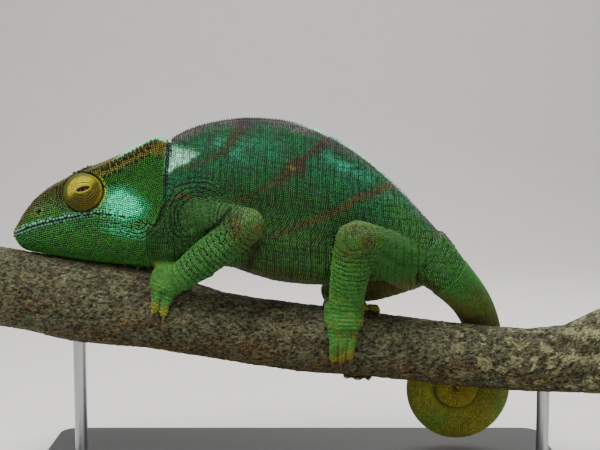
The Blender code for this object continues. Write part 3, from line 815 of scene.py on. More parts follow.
def fold(points, depth):
    """How far each point of the skin sinks into its folds, in millimetres."""
    level = level_head(points)
    x, side, z = level[:, 0], np.abs(level[:, 1]), level[:, 2]

    def groove(line, width, deepest):
        d, along = distance_to_line(level[:, [0, 2]], np.array(line, float))
        return deepest * bump(d, width) * band(along, 0, 0.12, 0.9, 1.0)

    sink = groove(MOUTH_LINE[1:], 0.9, 1.0) * (x < -90)
    neck_groove = [(-98, 167.2), (-92, 165), (-87, 163.6), (-84, 168), (-82.6, 176)]
    sink += groove(neck_groove, 1.0, 0.8) * ((x < -78) & (side > 3))
    # the neck drops away behind the casque's edge
    behind = -head_share(points)
    sink += 1.5 * bump(behind - 2.0, 1.7) * band(z, 158, 170, 212, 219) * step(2, 6, side)
    sink += 0.25 * bump(behind - 1.4, 1.5) * fade(158, 170, z)
    # the skin meets the lids in a gap behind and below, and in soft rings in front and above
    off, ringed = around_eye(level)
    sink += 0.8 * bump(off - 0.5, 1.1) * (1 - ringed)
    sink -= 1.1 * bump(off, 1.3) * ringed
    rings = 0.5 + 0.5 * np.cos(2 * np.pi * (off - 1.0) / 2.2)
    sink += 0.4 * rings * fade(4, 9, off) * ringed * (off > 0)
    d = from_nostril(level)
    sink += (1.3 * bump(d, 1.2) - 0.5 * bump(d - 2.4, 0.8)) * (side > 3)
    return sink + (0.6 * toe_gaps(points) + depth * 0.5 * wrinkles(points))


def make_skin():
    """The skin, smoothed and set in by the depth of the scales, with the tail's rings and all folds."""
    obj = flesh("skin", settings("skin").detail)
    mesh, coat_depth = obj.data, in_mm("skin", "coat_depth")
    points = points_of(mesh)
    relax(mesh, 26, 1 - 0.75 * np.maximum(foot_share(points), crest_share(points)))
    relax(mesh, 4)
    put_points(mesh, points_of(mesh) - normals_of(mesh) * (coat_depth + 0.22))
    join_tail(obj, coat_depth)
    points = points_of(mesh)
    put_points(mesh, points - normals_of(mesh) * fold(points, in_mm("skin", "fold_depth"))[:, None])
    smooth(mesh)
    points = points_of(mesh)
    # painted shade: the skin that shows between the scales is darkened to gap_shade of its colour, less dark
    # on the feet
    gap_shade, foot_shade = settings("skin").gap_shade, 0.78
    shade = gap_shade + (foot_shade - gap_shade) * foot_share(points)
    paint(mesh, markings(points, normals_of(mesh)) * shade[:, None])
    mesh.materials.append(skin_material())
    return obj


def join_tail(obj, depth):
    """Cuts the body's tail off square and goes on with the tail's own rings, bridged to it."""
    place_mm, along_mm = tail_cut()
    place, along = Vector(place_mm) * MM, Vector(along_mm)
    shape = bmesh.new()
    shape.from_mesh(obj.data)

    def near_cut(point, reach):
        return (point - place).length < reach and point.x > 0.078

    near = [f for f in shape.faces if near_cut(f.calc_center_median(), 0.032)]
    parts = list({v for f in near for v in f.verts}) + list({e for f in near for e in f.edges}) + near
    bmesh.ops.bisect_plane(shape, geom=parts, dist=1e-7, plane_co=place, plane_no=along)
    past = [v for v in shape.verts if (v.co - place).dot(along) > 1e-6 and near_cut(v.co, 0.05)]
    bmesh.ops.delete(shape, geom=past, context="VERTS")
    rim = [e for e in shape.edges if e.is_boundary]
    rings = [[shape.verts.new(Vector(p) * MM) for p in ring] for ring in tail_rings(depth)]
    count = len(rings[0])
    for first, second in zip(rings, rings[1:]):
        for i in range(count):
            j = (i + 1) % count
            shape.faces.new((first[i], first[j], second[j], second[i]))
    tip = shape.verts.new(sum((v.co for v in rings[-1]), Vector()) / count)
    for i in range(count):
        shape.faces.new((rings[-1][i], rings[-1][(i + 1) % count], tip))
    start = [shape.edges.get((rings[0][i], rings[0][(i + 1) % count])) for i in range(count)]
    bmesh.ops.bridge_loops(shape, edges=rim + start)
    bmesh.ops.recalc_face_normals(shape, faces=shape.faces)
    shape.to_mesh(obj.data)
    shape.free()
    # the bridge is smoothed into the skin on both sides of it
    away = points_of(obj.data) - place_mm
    close = fade(2, 6, np.abs(away @ along_mm)) * (lengths_of(away) < 25)
    relax(obj.data, 12, close)


# Markings


class Coat:
    """The colours of points in linear light, which take one marking after another."""

    def __init__(self, count, ground):
        self.colour = np.tile(ground, (count, 1))

    def lay(self, colour, share, *factors):
        """Covers them with a colour or the tint of that name, as much as share says."""
        colour = tint(colour, *factors) if isinstance(colour, str) else colour
        self.colour = blend(self.colour, colour, share)

    def dim(self, share):
        """Darkens them, down to black where share is 1, or brightens them where it is below 0."""
        self.colour = self.colour * (1 - share)[:, None]


# Painted highlights on the flank, where light shines off it: X and Z, and half their width and height
SHINES = [((-32, 207), (15, 5.5)), ((27, 197), (17, 4.5)), ((-52, 212), (7, 3)), ((60, 176), (10, 3.5))]
# The slanting stripes, each with a line from the back down and forwards, half its width at the start and the
# end, its strength and its share of orange
STRIPES = [
    ([(-33, 228), (-38, 217), (-46, 206), (-58, 200), (-76, 195)], (3.2, 1.4), 0.8, 0.0),
    ([(20, 216), (6, 205), (-3, 199), (-12, 190), (-26, 182), (-42, 176)], (2.8, 1.5), 0.85, 0.1),
    ([(-2, 198), (-8, 194)], (6.0, 5.0), 0.9, 0.0),
    ([(60, 187), (48, 183), (36, 179), (24, 172), (0, 163), (-18, 156)], (2.3, 1.5), 0.85, 0.8),
    ([(86, 155), (76, 154), (62, 151)], (2.0, 1.4), 0.75, 0.9),
    ([(-64, 176), (-70, 181), (-76, 179), (-79, 172)], (1.2, 0.9), 0.55, 0.8),
    ([(-40, 152), (-46, 150), (-51, 146)], (1.3, 1.0), 0.5, 0.9),
]
STRIPE_STARTS = [(-33, 226), (21, 214)]
# A line of painted shadow down the flank behind the near elbow: X and Z
SHADOW_BEHIND_ELBOW = np.array([(-25.5, 153), (-29, 143), (-34, 131)])


def markings(points, normals):
    """The animal's colours in linear light at points of its skin, with painted shade in its folds and gaps
    and painted highlights where light falls on it.
    """
    rough = cloud(points, 9.0, 1.0)
    fine = cloud(points, 2.6, 2.0, 2)
    coat = Coat(len(points), tint("back"))
    mark_trunk(coat, points, rough)
    mark_limbs(coat, points, normals, rough)
    mark_tail(coat, points, normals, rough)
    share = head_share(points)
    z = points[:, 2]
    # painted shadow: dark brown in the notch behind the casque's rear edge, and the neck darkened just behind
    # the edge
    notch_shadow = bump(share + 1.9, 1.5) * band(z, 180, 190, 213, 217)
    coat.lay("crest_spot", notch_shadow * 0.92, 1.1)
    coat.dim(0.5 * bump(share + 1.0, 0.8) * step(156, 172, z))
    coat.lay(head_markings(points, normals, rough), step(-0.6, 0.6, share))
    # painted shade: darker in the folds of shoulders, limbs, jaw and flank
    return coat.colour * ((1 + 0.10 * fine + 0.08 * rough) * (1 - 0.42 * wrinkles(points)))[:, None]


def mark_trunk(coat, points, rough):
    x, y, z = points.T
    xz = points[:, [0, 2]]
    down = on_line(BACK_LINE, x) - z
    coat.lay("back", step(16, 6, down + 4 * rough) * 0.8, 0.8, 0.82, 0.75)
    coat.lay("flank", step(22, 46, down + 5 * rough))
    coat.lay("belly", step(48, 84, down + 5 * rough))
    # painted shade: the underside of the belly darker brown, away from the light above
    coat.lay("joint", step(84, 96, down + 3 * rough) * 0.75, 0.55)
    for (middle_x, middle_z), size in SHINES:
        slanting = z - middle_z + 0.45 * (x - middle_x) * (middle_x > 0)
        shine = spot(x - middle_x, slanting, *size)
        coat.lay("sheen", shine * (0.5 + 0.8 * rough).clip(0, 1) * 0.8, 0.55, 0.42, 0.48)
    # painted light: a pale sunlit patch on the neck behind the casque
    patch = band(x, -84.5, -81, -64, -54) * fade(207, 213, z + 0.25 * (x + 80))
    patch = patch * step(-1.5, 2.0, z - 193 - 0.56 * (x + 81) + 2.0 * rough)
    coat.lay(tint("nape") * (0.85 + 0.3 * step(205, 196, z))[:, None], patch * 0.92)
    for line, (start, end), strength, orange in STRIPES:
        d, along = distance_to_line(xz, np.array(line, float))
        half = start + (end - start) * along + 1.1 * rough
        colour = tint("stripe") * (1 + orange * np.array((0.8, 0.4, -0.1)))
        coat.lay(colour, fade(half * 0.6, half * 1.35 + 0.5, d) * strength * (1 - 0.55 * along))
    ridge = fade(1.8, 6.5 + 3.0 * rough, down) * (x > -84) * (x < 96)
    grey = tint("ridge") * (1 + 0.35 * np.sin(x * 1.9 + 5 * rough))[:, None]
    coat.lay(grey, ridge * (0.5 + 0.5 * step(-0.3, 0.3, rough)))
    for start_x, start_z in STRIPE_STARTS:
        coat.lay("ridge", spot(x - start_x, z - start_z, 7, 8) * 0.85, 0.35)
    coat.lay("crest", spot(x + 4.6, z - 196.5, 1.5, 1.9) * 0.85, 1.2)
    coat.lay("limb", step(38, 66, x) * step(2, 12, down + 3 * rough) * 0.85, 0.72, 0.86, 0.9)
    # painted shadow behind the near elbow
    d, _ = distance_to_line(xz, SHADOW_BEHIND_ELBOW)
    coat.lay("joint", fade(1.0, 4.0, d + 0.8 * rough) * (y < 0) * 0.8, 0.3)


def mark_limbs(coat, points, normals, rough):
    x, y, z = points.T
    arm = step(-10, -20, x)
    leg = 1 - arm
    limb = Coat(len(points), tint("limb"))
    # painted shade: the undersides of the limbs darker
    limb.dim(0.25 * step(0.1, -0.75, normals[:, 2]))
    limb.colour = limb.colour * (1 + arm[:, None] * np.array((-0.11, -0.05, 0.15)))
    limb.dim(0.40 * arm * step(-24, -38, x) * step(158, 164, z))
    limb.dim(-0.22 * leg * fade(136, 146, z) * fade(30, 42, x))
    limb.lay("flank", leg * step(36, 50, x) * 0.6, 1.1)
    on_limb = limb_share(points)
    coat.lay(limb.colour, on_limb)
    for bend in BENDS:
        near = bump(lengths_of(points - bend) - 8, 6)
        coat.lay("joint", near * on_limb * (0.5 + 0.6 * rough).clip(0, 0.9), 0.72, 0.8, 0.7)
    # painted shade in the crease between forearm and upper arm
    d, _ = distance_to_line(points[:, [0, 2]], ARM_CREASE)
    coat.dim(0.55 * fade(0.3, 2.0, d) * (y < -22))
    behind_thigh = band(x, 32, 40, 72, 80) * step(131, 124, z + 2 * rough) * (y > -24)
    coat.lay("joint", behind_thigh * 0.8, 0.95)
    foot = foot_share(points)
    coat.lay("limb", foot * 0.6, 1.05, 1.08, 1.2)
    blotch = step(0.05, 0.35, cloud(points, 5.0, 44.0, 2)) * step(112, 100, z)
    toe = (toe_share(points) + 0.35 * rough).clip(0, 1)
    toe = toe * step(0.2, 0.9, foot) * fade(-1, 0, head_share(points))
    coat.lay("toe", foot * toe * 0.85)
    coat.lay("joint", foot * blotch * 0.6, 1.5, 1.1, 0.8)
    coat.lay("joint", foot * (z < 73) * (y > -12) * 0.8, 0.7)
    # painted shade in the grooves between the toes
    coat.dim(0.55 * toe_gaps(points))


def mark_tail(coat, points, normals, rough):
    x, _, z = points.T
    on_tail = step(70, 92, x + 0.5 * (150 - z).clip(-10, 20)) * (x > 60)
    tail = Coat(len(points), tint("limb", 0.72, 0.86, 0.95))
    tail.lay("tail", step(124, 102, z + 4 * rough), 0.62, 0.8, 0.7)
    tail.lay("joint", step(-0.35, -0.75, normals[:, 2]) * 0.8, 0.7)
    coil = step(100, 62, z)
    tail.lay("tail", coil, 2.0, 2.05, 3.0)
    green = spot(x - 87, z - 30, 9, 7) + spot(x - 129, z - 40, 4, 8)
    tail.lay("limb", coil * green.clip(0, 1) * 0.7, 2.0, 1.7, 1.9)
    slot = coil_slot(points)[2]
    tail.lay("toe", coil * fade(-4, 0, slot) * 0.55, 1.25, 1.0, 0.9)
    # painted shadow along the slot between the coil's turns
    tail.dim(0.75 * coil * bump(slot, 1.0))
    coat.lay(tail.colour, on_tail)
    brown = spot(x - 110, z - 118, 6, 5) + spot(x - 100, z - 20, 9, 5)
    coat.lay("joint", brown.clip(0, 1) * 0.35 * on_tail, 0.9)


def crest_spots(x, below):
    """1 in the dark spots that stand in three rows below the head's crest."""
    apart = 3.4
    spots = np.zeros(len(x))
    for row in range(3):
        at = (x + 1.7 * row) / apart
        nearest = np.round(at)
        off = (at - nearest) * apart + 0.5 * np.sin(12.9 * nearest + 7.8 * row)
        lower = below - 3.3 - 2.2 * row + 0.3 * np.sin(9.1 * nearest + 5.0 * row)
        present = np.sin(37.7 * nearest + 11.3 * row) > -0.75
        spots = np.maximum(spots, fade(0.9, 1.3, np.hypot(off / 1.25, lower / 0.8)) * present)
    return spots * band(x, -133, -130, -91, -87)


def head_markings(points, normals, rough):
    level = level_head(points)
    x, y, z = level.T
    side, below = np.abs(y), below_crest(level)
    coat = Coat(len(points), tint("head"))
    mark_face(coat, level, below, rough)
    half = crest_at(x)[:, 1]
    on_side = side > 3
    crest = band(x, -152, -146, -88, -85)
    stripe = fade(8.0, 10.0, below + 0.8 * rough + 0.06 * (-96 - x)) * step(-131, -124, x) * on_side
    ground = blend(tint("crest", 1.2)[None], tint("joint", 1.8, 1.4, 0.9), step(-112, -92, x) * 0.5)
    coat.lay(ground, stripe * (0.9 - 0.3 * step(3, 8, below)))
    crown = step(0.25, 0.6, normals[:, 2]) * (below < 5) * (side < half + 0.8)
    coat.lay("crest", crown * step(-150, -130, x) * step(-104, -116, x), 0.6)
    coat.lay("nape", crown * step(-116, -106, x), 0.55, 0.75, 0.5)
    coat.lay("snout", crown * step(-140, -152, x), 0.75)
    coat.lay("crest_spot", crest_spots(x, below) * on_side * 0.97, 0.3)
    edge = np.hypot(below - 0.4, side - half + 0.3)
    broken = 0.45 + 0.5 * step(-0.5, 0.3, np.sin(2 * np.pi * x / 2.6 + 2 * rough))
    coat.lay("crest_spot", fade(1.5, 2.3, edge) * crest * broken, 1.1)
    points_up = fade(0.7, 1.1, np.hypot(edge, below + 0.4)) * (np.sin(2 * np.pi * x / 2.9) > 0.1)
    coat.lay("nape", points_up * band(x, -114, -110, -86, -84) * 0.85, 0.95)
    ridge = fade(1.2, 2.8, np.hypot(below, side - half)) * (x < -128)
    coat.lay("crest_spot", ridge * 0.6, 2.2)
    mark_eye(coat, level)
    pit = from_nostril(level)
    coat.lay("snout", bump(pit - 2.3, 0.9) * on_side * 0.6, 1.7)
    # painted shade inside the nostril
    coat.lay("snout", fade(0.9, 1.6, pit) * on_side, 0.03)
    return coat.colour


def mark_face(coat, level, below, rough):
    """Jaw, snout, brow, painted highlights on the temple and below the mouth, the pale lips and a painted
    glint above them.
    """
    x, _, z = level.T
    mouth, line = from_mouth(level), on_line(MOUTH_LINE, x)
    coat.lay("jaw", np.maximum(step(8, 0, z - line), step(-128, -140, x)))
    coat.lay("jaw", (z < line) * step(16, 3, line - z) * 0.7, 1.1, 1.15, 2.5)
    snout = step(-138, -158, x) * step(2, 10, mouth) * (z > 157)
    coat.lay("snout", snout * (0.35 + 0.4 * step(14, 5, below)))
    coat.lay("snout", fade(4.5, 8.5, below) * step(-112, -126, x), 0.8)
    # painted highlight: a pale sunlit patch on the temple behind the eye
    cheek = np.hypot((x + 107) / 12, (z - 176.5 + 0.16 * (x + 107)) / 8.6) + 0.22 * rough
    coat.lay("sheen", fade(0.85, 1.6, cheek) * 0.55, 0.5, 0.62, 0.5)
    coat.lay("sheen", fade(0.72, 1.0, cheek) * 0.9)
    # painted highlight: a fainter sunlit patch below the mouth's rear
    lower = np.hypot((x + 106) / 13, (z - 160.5 + 0.18 * (x + 106)) / 5.0) + 0.3 * rough
    coat.lay("sheen", fade(0.5, 1.3, lower) * 0.42, 0.9, 0.7, 0.6)
    lips = fade(1.5, 2.9, mouth) * band(x, -178, -172, -140, -112)
    coat.lay(tint("nape") * np.where(z > line, 0.36, 0.16)[:, None], lips * 0.75)
    glint = bump(x + 127, 9) * fade(1.5, 6, mouth) * (z > line)
    coat.lay("nape", glint * 0.5, 0.33)
    coat.lay("jaw", step(158, 138, z) * 0.8, 0.7)


def mark_eye(coat, level):
    """Dull rings in front of the lids and above them, with painted shade in their grooves, and a pale and a
    dark rim behind.
    """
    x, _, z = level.T
    off, ringed = around_eye(level)
    socket = ringed * fade(4, 9, off)
    coat.lay("lid_shade", socket * 0.8, 0.75, 0.72, 0.8)
    # painted shade in the grooves of the rings
    coat.dim(0.6 * (0.5 + 0.5 * np.cos(2 * np.pi * (off - 1.0) / 2.2)) * socket)
    pale_rim = bump(off - 2.4, 0.6) * step(-126, -120, x) * (1 - ringed) * step(170, 176, z)
    coat.lay("lid", pale_rim * 0.8, 0.8, 0.95, 1.6)
    coat.lay("crest_spot", bump(off - 0.8, 0.7) * step(-130, -126, x) * 0.8, 0.6)


# Materials


class Finish:
    """A new material, built node by node."""

    def __init__(self, name, roughness, **values):
        self.material = bpy.data.materials.new(name)
        self.material.use_nodes = True
        self.tree = self.material.node_tree
        self.shader = self.tree.nodes["Principled BSDF"]
        self.set(self.shader, {"Roughness": roughness, **values})

    def set(self, node, values):
        for name, value in values.items():
            node.inputs[name].default_value = value

    def add(self, kind, **values):
        node = self.tree.nodes.new("ShaderNode" + kind)
        self.set(node, values)
        return node

    def link(self, source, output, target, slot):
        self.tree.links.new(source.outputs[output], target.inputs[slot])

    def noise(self, scale, **values):
        """Noise that lies still on the piece."""
        node = self.add("TexNoise", Scale=scale, **values)
        self.link(self.add("TexCoord"), "Object", node, "Vector")
        return node

    def spread(self, source, output, low, high, at_low, at_high):
        """Values from at_low to at_high, where the source goes from low to high."""
        node = self.add("MapRange")
        self.set(node, {"From Min": low, "From Max": high, "To Min": at_low, "To Max": at_high})
        self.link(source, output, node, "Value")
        return node

    def multiply(self, source, output, factor):
        """A colour times the result of spread."""
        node = self.add("Mix")
        node.data_type, node.blend_type = "RGBA", "MULTIPLY"
        node.inputs["Factor"].default_value = 1
        self.link(source, output, node, "A")
        self.link(factor, "Result", node, "B")
        return node

    def markings(self):
        """The colours that paint has given the piece."""
        node = self.add("Attribute")
        node.attribute_name = "markings"
        return node


def ready_or(name, make, *values):
    return bpy.data.materials.get(name) or make(name, *values).material


def marked_finish(name, roughness, speckle, scale, relief):
    """A skin-like surface that takes its colours from the piece's markings, with fine mottling and relief."""
    finish = Finish(name, roughness)
    shader = finish.shader
    mottle = finish.noise(scale, Detail=3)
    shade = finish.spread(mottle, "Fac", 0.3, 0.7, 1 - speckle, 1 + speckle)
    colour = finish.multiply(finish.markings(), "Color", shade)
    bump_node = finish.add("Bump", Strength=relief, Distance=0.0002)
    finish.link(colour, "Result", shader, "Base Color")
    finish.link(mottle, "Fac", bump_node, "Height")
    finish.link(bump_node, "Normal", shader, "Normal")
    shader.inputs["Specular IOR Level"].default_value = 0.24
    return finish


def plain_finish(name, colour, roughness, metallic, scale, darkest=0.92, lightest=1.06):
    """Paint or metal with faint clouds in it."""
    finish = Finish(name, roughness, Metallic=metallic)
    ramp = finish.add("ValToRGB")
    for element, share in zip(ramp.color_ramp.elements, (darkest, lightest)):
        element.color = (*(np.array(colour) * share), 1)
    finish.link(finish.noise(scale), "Fac", ramp, "Fac")
    finish.link(ramp, "Color", finish.shader, "Base Color")
    return finish


def skin_material():
    return ready_or("Skin", marked_finish, 0.62, 0.18, 900, 0.4)


def scale_material():
    return ready_or("Scales", marked_finish, 0.46, 0.16, 1400, 0.25)


def claw_material():
    return ready_or("Claw", marked_finish, 0.28, 0.12, 2600, 0.3)


def eye_finish(name):
    """A wet eye: a black pupil in a thin dark-gold ring, as painted on it."""
    finish = Finish(name, 0.22)
    finish.link(finish.markings(), "Color", finish.shader, "Base Color")
    finish.shader.inputs["Specular IOR Level"].default_value = 0.3
    return finish


# Pits, flecks and cracks over the bark, each from a noise: its scale, detail and middle value, how far from
# the middle its effect starts and ends, and what the colour is multiplied by at both
BARK_LAYERS = [
    (820, 2, 0.0, 0.54, 0.62, 1, 0.22),
    (1300, 2, 0.0, 0.56, 0.66, 1, 1.9),
    (210, 7, 0.5, 0.0, 0.022, 0.25, 1),
]


def bark_finish(name):
    """The bark's colours with fine dark pits, pale flecks and cracks over them."""
    finish = marked_finish(name, 0.85, 0.26, 620, 0.7)
    colour = finish.shader.inputs["Base Color"].links[0].from_node
    grain = finish.add("Mapping", Scale=(0.5, 1.0, 1.0))
    finish.link(finish.add("TexCoord"), "Object", grain, "Vector")
    for scale, detail, middle, start, end, at_start, at_end in BARK_LAYERS:
        layer = finish.add("TexNoise", Scale=scale, Detail=detail)
        finish.link(grain, "Vector", layer, "Vector")
        off, distance = finish.add("Math"), finish.add("Math")
        off.operation, distance.operation = "SUBTRACT", "ABSOLUTE"
        off.inputs[1].default_value = middle
        finish.link(layer, "Fac", off, 0)
        finish.link(off, "Value", distance, 0)
        share = finish.spread(distance, "Value", start, end, at_start, at_end)
        colour = finish.multiply(colour, "Result", share)
    finish.link(colour, "Result", finish.shader, "Base Color")
    return finish


# Rows of scales

NEVER = 1e6  # travel time of places that a wave doesn't reach


def travel(points, triangles, sources, start, slowness):
    """Least travel time over a mesh from its sources, where slowness is the time that a millimetre takes."""
    time = np.full(len(points), NEVER)
    time[sources] = start
    corners = joined(triangles, triangles[:, [1, 2, 0]], triangles[:, [2, 0, 1]])
    c, a, b = points[corners[:, 0]], points[corners[:, 1]], points[corners[:, 2]]
    e1, e2 = a - c, b - c
    # time is linear over a triangle and rises there at the rate of its slowness
    g11, g12, g22 = (e1 * e1).sum(1), (e1 * e2).sum(1), (e2 * e2).sum(1)
    det = np.maximum(g11 * g22 - g12 * g12, 1e-12)
    slow = slowness[corners].mean(1)
    table = np.stack([g22 / det, -g12 / det, g11 / det, slow, np.sqrt(g11) * slow, np.sqrt(g22) * slow], 1)
    fresh = np.zeros(len(points), bool)
    fresh[sources] = True
    for _ in range(900):
        active = np.nonzero(fresh[corners[:, 1]] | fresh[corners[:, 2]])[0]
        if not len(active):
            break
        target, first, second = corners[active].T
        ta, tb = time[first], time[second]
        q11, q12, q22, s, l1, l2 = table[active].T
        ones = q11 + 2 * q12 + q22
        both = q11 * ta + q12 * (ta + tb) + q22 * tb
        disc = both * both - ones * (q11 * ta * ta + 2 * q12 * ta * tb + q22 * tb * tb - s * s)
        t = (both + np.sqrt(np.maximum(disc, 0))) / ones
        # the wave has to come through the far side of the triangle
        good = (disc >= 0) & (q11 * (t - ta) + q12 * (t - tb) >= 0)
        good = good & (q12 * (t - ta) + q22 * (t - tb) >= 0) & (t >= np.maximum(ta, tb))
        t = np.where(good, t, np.minimum(ta + l1, tb + l2))
        before = time.copy()
        np.minimum.at(time, target, t)
        time[sources] = start
        fresh = time < before - 1e-4
    return time


def reached(field):
    return field < 0.9 * NEVER


def level_crossings(triangles, field, levels):
    """Where lines of equal field cross the edges of a mesh: the edges, and which crossings are neighbours."""
    key = joined(triangles[:, [0, 1]], triangles[:, [1, 2]], triangles[:, [2, 0]])
    edges, index = np.unique(np.sort(key, axis=1), axis=0, return_inverse=True)
    index = index.reshape(3, -1).T
    values = field[edges]
    low, high = np.searchsorted(levels, values.min(1)), np.searchsorted(levels, values.max(1))
    low, high = low[index], high[index]
    last = field[triangles].max(1)
    start, end = np.searchsorted(levels, field[triangles].min(1)), np.searchsorted(levels, last)
    links = {}
    for t in np.nonzero((end > start) & reached(last))[0]:
        for level in range(start[t], end[t]):
            crossed = [int(index[t, k]) for k in range(3) if low[t, k] <= level < high[t, k]]
            if len(crossed) == 2:
                a, b = (crossed[0], level), (crossed[1], level)
                links.setdefault(a, []).append(b)
                links.setdefault(b, []).append(a)
    return edges, links


def rows(points, triangles, field, waves, first, last=None):
    """Lines of equal field over a mesh, 1 apart, each as its number and its points in order."""
    field = np.where(reached(field), field + waves, field)
    levels = np.arange(first, last or field[reached(field)].max(), 1.0)
    edges, links = level_crossings(triangles, field, levels)

    def where(crossing):
        edge, level = crossing
        i, j = edges[edge]
        share = (levels[level] - field[i]) / (field[j] - field[i])
        return points[i] + (points[j] - points[i]) * share

    seen, lines = set(), []
    ends = [crossing for crossing, near in links.items() if len(near) == 1]
    for crossing in ends + list(links):
        if crossing in seen:
            continue
        chain, following = [], [crossing]
        while following:
            chain.append(following[0])
            seen.add(following[0])
            following = [n for n in links[chain[-1]] if n not in seen]
        if len(chain) > 3 and chain[0] in links[chain[-1]]:
            chain.append(chain[0])
        lines.append((crossing[1], np.array([where(n) for n in chain])))
    return lines


def root_table(place, along, *columns):
    """Roots of scales: place, direction along the row, then size along it and across, row and share of it."""
    columns = [np.broadcast_to(column, len(place)) for column in columns]
    return np.column_stack([place, along, *columns])


def sow(lines, spacing, pitch, stagger=0.25):
    """Roots of scales along rows."""
    roots = []
    for level, line in lines:
        lengths = steps_of(line)
        gone = running(lengths)
        if gone[-1] < 1.2:
            continue
        local = pitch(line)
        count = running(lengths / ((local[:-1] + local[1:]) / 2))
        total = max(1, int(round(count[-1])))
        at = (np.arange(total) + 0.25 + stagger * (level % 2)) * count[-1] / total
        length_at = np.interp(at, count, gone)
        place = columns_at(length_at, gone, line)
        along = unit(columns_at(length_at + 0.8, gone, line) - columns_at(length_at - 0.8, gone, line))
        local_pitch = np.interp(length_at, gone, local) * count[-1] / total
        roots.append(root_table(place, along, local_pitch, spacing(place), level, length_at / 400))
    return np.concatenate(roots)


# Forms of a scale: the share of its width and the height of each ring of corners
PLAIN = {"rings": [(0.96, -0.9), (1.0, 0.45)], "sides": 4}
SIX = {"rings": [(0.98, -0.9), (1.0, 0.3), (0.66, 0.9)], "sides": 6}


def scale_shape(kind, peak):
    """Points and triangles of one scale about its root, 1 across. It is a cone where peak is high."""
    sides, rings = kind["sides"], kind["rings"]
    corner = 1 / math.cos(math.pi / sides) if sides == 4 else 1.06
    turn = 2 * np.pi * (np.arange(sides) + 0.5) / sides
    around = np.stack([np.cos(turn), np.sin(turn)], 1) * 0.5
    points = [np.column_stack([around * share * corner, np.full(sides, height)]) for share, height in rings]
    triangles = []
    for ring in range(len(rings) - 1):
        for i in range(sides):
            a, b = ring * sides + i, ring * sides + (i + 1) % sides
            triangles += [(a, b, b + sides), (a, b + sides, a + sides)]
    last = (len(rings) - 1) * sides
    triangles += [(last + i, last + (i + 1) % sides, last + sides) for i in range(sides)]
    triangles += [(0, i + 1, i) for i in range(1, sides - 1)]
    return joined(*points, [(0, 0, peak)]), np.array(triangles)


def spread_out(values):
    """Values fitted between 0.01 and 0.99."""
    return 0.01 + 0.98 * (values - values.min()) / max(np.ptp(values), 1e-6)


def make_scales(name, roots, normals, heights, colours, cover, kind=PLAIN, peak=1.0, uv=None, loose=1.0):
    """One mesh of scales on their roots.

    cover is the share of its room that a scale fills along the row and across it, and loose is how unevenly
    they lie.
    """
    shape, triangles = scale_shape(kind, peak)
    total, count = len(roots), len(shape)
    normals = unit(normals)
    along = roots[:, 3:6]
    along = unit(along - normals * (along * normals).sum(1, keepdims=True))
    across = np.cross(normals, along)
    rng = np.random.default_rng(total)
    turn = 0.13 * loose * rng.standard_normal(total)[:, None]
    c, s = np.cos(turn), np.sin(turn)
    along, across = along * c + across * s, across * c - along * s
    size_along, size_across = (
        roots[:, 6 + k] * cover[k] * (1 + 0.08 * loose * rng.standard_normal(total)).clip(0.8, 1.15)
        for k in range(2)
    )
    aside = along * rng.standard_normal((total, 1)) + across * rng.standard_normal((total, 1))
    place = roots[:, :3] + 0.07 * loose * size_along[:, None] * aside
    points = (
        place[:, None]
        + along[:, None] * (shape[None, :, :1] * size_along[:, None, None])
        + across[:, None] * (shape[None, :, 1:2] * size_across[:, None, None])
        + normals[:, None] * (shape[None, :, 2:] * heights[:, None, None])
    ).reshape(-1, 3)
    faces = (triangles[None] + (np.arange(total) * count)[:, None, None]).reshape(-1, 3)
    mesh = mesh_from(name, points, faces, 3)
    paint(mesh, np.repeat(colours, count, axis=0))
    u, v = (roots[:, 8:10] if uv is None else uv).T
    centre = np.stack([spread_out(u), spread_out(v)], 1)
    corner = (centre[:, None] + shape[None, :, :2] * 0.0028).reshape(-1, 2)
    layer = mesh.uv_layers.new(name="OFBake")
    layer.data.foreach_set("uv", corner[faces.ravel()].astype(np.float32).ravel())
    return new_object(name, mesh, scale_material())


def make_scale_pieces(name, chosen, roots, normals, heights, colours, uv, **looks):
    """The chosen scales, in as many pieces as keep each below the most triangles."""
    made = []
    _, triangles = scale_shape(looks.get("kind", PLAIN), 1.0)
    parts = math.ceil(len(chosen) * len(triangles) / MOST_TRIANGLES)
    for number, block in enumerate(np.array_split(chosen, parts), 1):
        piece_name = name if number == 1 else f"{name}_{number}"
        arrays = [array[block] for array in (roots, normals, heights, colours)]
        made.append(make_scales(piece_name, *arrays, uv=uv[block], **looks))
    return made


def scale_colours(place, normal, seed):
    """Each scale's colour: the markings, a little lighter or darker from scale to scale."""
    rng = np.random.default_rng(seed)
    colours = markings(place, normal)
    return colours * (1 + 0.17 * rng.standard_normal(len(place))).clip(0.6, 1.5)[:, None]


